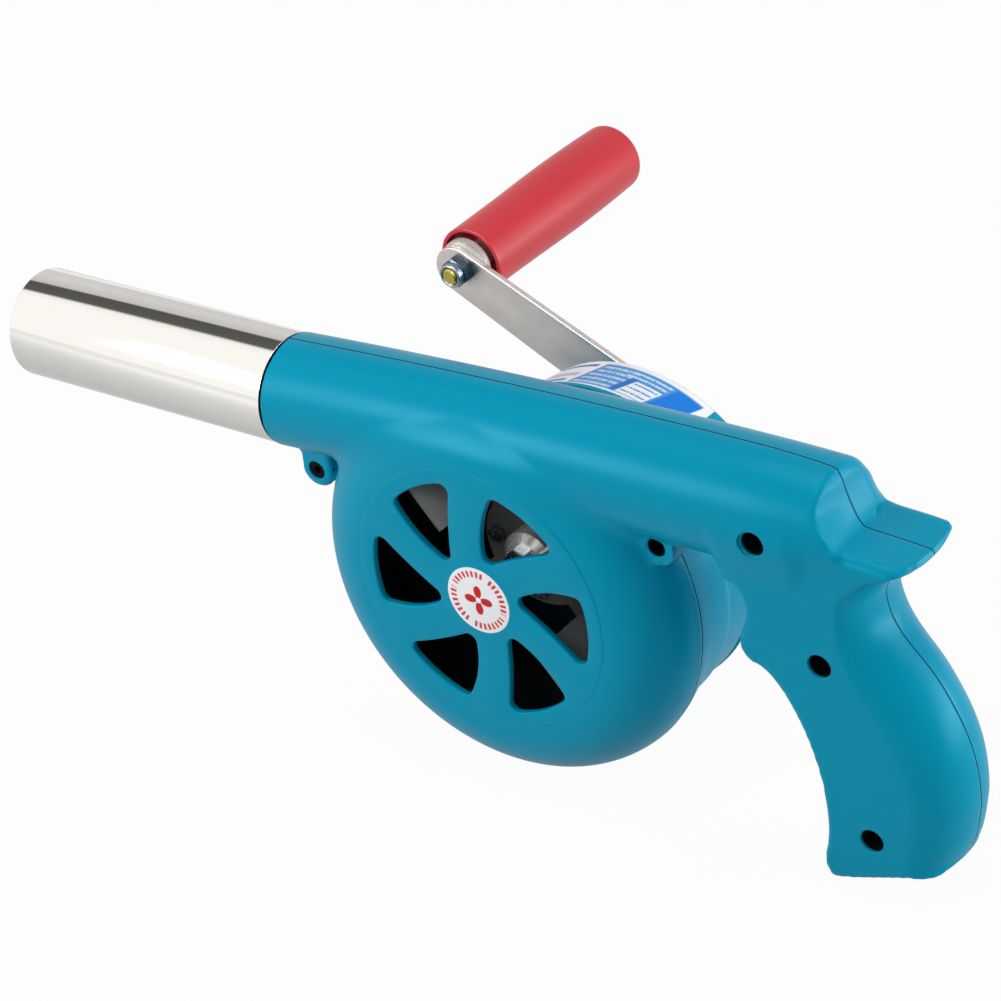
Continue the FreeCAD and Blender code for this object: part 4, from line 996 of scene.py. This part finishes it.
# finishes of the CAD nodes that stay
finishes = [
    (wheelSheet, ["impeller_wheel"]),
    (zincSheet, ["gear_frame_front", "gear_frame_rear", "frame_pillars"]),
    (blackSteel, ["housing_screws"]),
    (zincPlate, ["cover_screws", "frame_screws", "crank_washer", "crank_nut", "impeller_nut",
                 "wheel_rivets"]),
    (turnedSteel, ["idler_axle", "idler_clips", "crank_shaft", "spindle_washer", "impeller_shaft",
                   "impeller_hub"]),
    (bronze, ["crank_bushes", "impeller_bush"]),
    (nylon, ["drive_gear", "idler_gear", "idler_pinion", "impeller_pinion"]),
    (yellowZinc, ["spindle_bolt"]),
    (redPlastic, ["handle_end_plug"]),
]
for material, names in finishes:
    for name in names:
        mesh = nodes[name].data
        mesh.materials.clear()
        mesh.materials.append(material)
print("CAD nodes finished")

# floor, light and camera

scene = bpy.context.scene
scene.view_settings.view_transform = "Standard"


def paleFloor(z, reach, whiteness):
    # matt white paint that takes shadows; the camera sees it close to white, and polished metal sees it glow
    # with a painted shadow,
    #     # brighter further out than close under the object
    mesh = bpy.data.meshes.new("floor")
    mesh.from_pydata([(-reach, -reach, z), (reach, -reach, z), (reach, reach, z), (-reach, reach, z)], [],
                     [(0, 1, 2, 3)])
    obj = bpy.data.objects.new("floor", mesh)
    scene.collection.objects.link(obj)
    material, tree, shader, place = newMaterial("floor white paint")
    cloud = addNode(tree, "TexNoise", {"Vector": place, "Scale": 3.0})
    tint = addNode(tree, "MapRange", {"Value": cloud, "To Min": 0.62, "To Max": 0.66})
    tree.links.new(tint.outputs["Result"], shader.inputs["Base Color"])
    shader.inputs["Roughness"].default_value = 0.9
    ray = addNode(tree, "LightPath").outputs
    y = addNode(tree, "SeparateXYZ", {0: place}).outputs["Y"]
    outward = addNode(tree, "Math", {0: y}, operation="ABSOLUTE")
    # painted shadow for glossy rays: dimmer near y = 0 under the object, brighter further out along Y
    paintedFloorShadow = addNode(tree, "MapRange", {"Value": outward, "From Min": 0.0, "From Max": 0.4,
                                        "To Min": 0.5, "To Max": 0.95})
    level = addNode(tree, "Mix", {"Factor": ray["Is Glossy Ray"], "A": 1.0, "B": paintedFloorShadow})
    glow = addNode(tree, "Emission", {"Color": (1, 1, 1, 1), "Strength": level.outputs["Result"]})
    seen = addNode(tree, "Math", {0: ray["Is Camera Ray"], 1: whiteness}, operation="MULTIPLY")
    share = addNode(tree, "Math", {0: ray["Is Glossy Ray"], 1: 0.85, 2: seen}, operation="MULTIPLY_ADD")
    mix = addNode(tree, "MixShader", {0: share, 1: shader, 2: glow})
    output = [node for node in tree.nodes if node.type == "OUTPUT_MATERIAL"][0]
    tree.links.new(mix.outputs[0], output.inputs[0])
    obj.data.materials.append(material)


paleFloor(cadLow[2] - 0.0005, 6, 0.955)

# studio: even light for the matt surfaces; glossy ones see a white wall in front, a dark gap overhead
# and a grey wall behind, by the angle round the X axis in degrees
studio = {"ambient": 0.23, "walls": [(-180, 0.55), (-60, 0.66), (-37, 0.56), (-34, 0.085), (-9, 0.1),
                                     (-4, 0.92), (8, 1.0), (180, 1.0)]}


def makeStudio():
    world = bpy.data.worlds.new("studio")
    world.use_nodes = True
    scene.world = world
    tree = world.node_tree
    direction = addNode(tree, "TexCoord").outputs["Generated"]
    parts = addNode(tree, "SeparateXYZ", {0: direction}).outputs
    forward = addNode(tree, "Math", {0: parts["Y"], 1: -1.0}, operation="MULTIPLY")
    angle = addNode(tree, "Math", {0: forward, 1: parts["Z"]}, operation="ARCTAN2")
    share = addNode(tree, "MapRange", {"Value": angle, "From Min": -math.pi, "From Max": math.pi})
    walls = addNode(tree, "ValToRGB", {"Fac": share})
    elements = walls.color_ramp.elements
    while len(elements) < len(studio["walls"]):
        elements.new(0.5)
    for element, (degrees, grey) in zip(elements, studio["walls"]):
        element.position = (degrees + 180) / 360
        element.color = (grey, grey * 0.985, grey * 0.965, 1)
    ray = addNode(tree, "LightPath").outputs
    even = (studio["ambient"],) * 3 + (1,)
    lit = addNode(tree, "Mix", {"Factor": ray["Is Glossy Ray"], "A": even, "B": walls}, data_type="RGBA")
    seen = paint(tree, lit.outputs["Result"], ray["Is Camera Ray"], "#FFFFFF")
    tree.links.new(seen, tree.nodes["Background"].inputs["Color"])


makeStudio()


def softLamp(name, place, aim, size, power):
    lamp = bpy.data.lights.new(name, "AREA")
    lamp.shape = "RECTANGLE"
    lamp.size, lamp.size_y = size
    lamp.energy = power
    obj = bpy.data.objects.new(name, lamp)
    obj.location = place
    obj.rotation_euler = (Vector(aim) - Vector(place)).to_track_quat("-Z", "Y").to_euler()
    scene.collection.objects.link(obj)


softLamp("top_lamp", (0.2, 0.1, 1.3), (0.15, 0, 0), (1.2, 0.8), 8)
softLamp("front_lamp", (-0.27, -0.6, 0.33), (0.14, 0, -0.03), (0.4, 0.3), 3.3)
softLamp("side_lamp", (1.0, 0.45, 0.35), (0.2, 0, -0.03), (0.5, 0.5), 2.2)
softLamp("low_lamp", (0.9, 0.3, 0.0), (0.25, 0, -0.04), (0.6, 0.16), 2.4)
softLamp("fill_lamp", (0.3, -0.6, 0.55), (0.15, 0, -0.04), (0.25, 0.25), 0.5)

view = {"azimuth": 39.684, "elevation": 31.236, "roll": 7.538, "place": (0.67816, -0.62129, 0.47094),
        "lens": 125.12, "sensor": 36, "near": 0.01}


def makeCamera():
    data = bpy.data.cameras.new("camera")
    data.lens = view["lens"]
    data.sensor_width = view["sensor"]
    data.clip_start = view["near"]
    camera = bpy.data.objects.new("camera", data)
    scene.collection.objects.link(camera)
    a, e, roll = [math.radians(view[key]) for key in ("azimuth", "elevation", "roll")]
    right = Vector((math.cos(a), math.sin(a), 0))
    up = Vector((-math.sin(a) * math.sin(e), math.cos(a) * math.sin(e), math.cos(e)))
    xAxis = right * math.cos(roll) - up * math.sin(roll)
    yAxis = right * math.sin(roll) + up * math.cos(roll)
    facing = Matrix((xAxis, yAxis, right.cross(up))).transposed().to_4x4()
    camera.matrix_world = Matrix.Translation(view["place"]) @ facing
    scene.camera = camera


makeCamera()
print("floor, light and camera made")
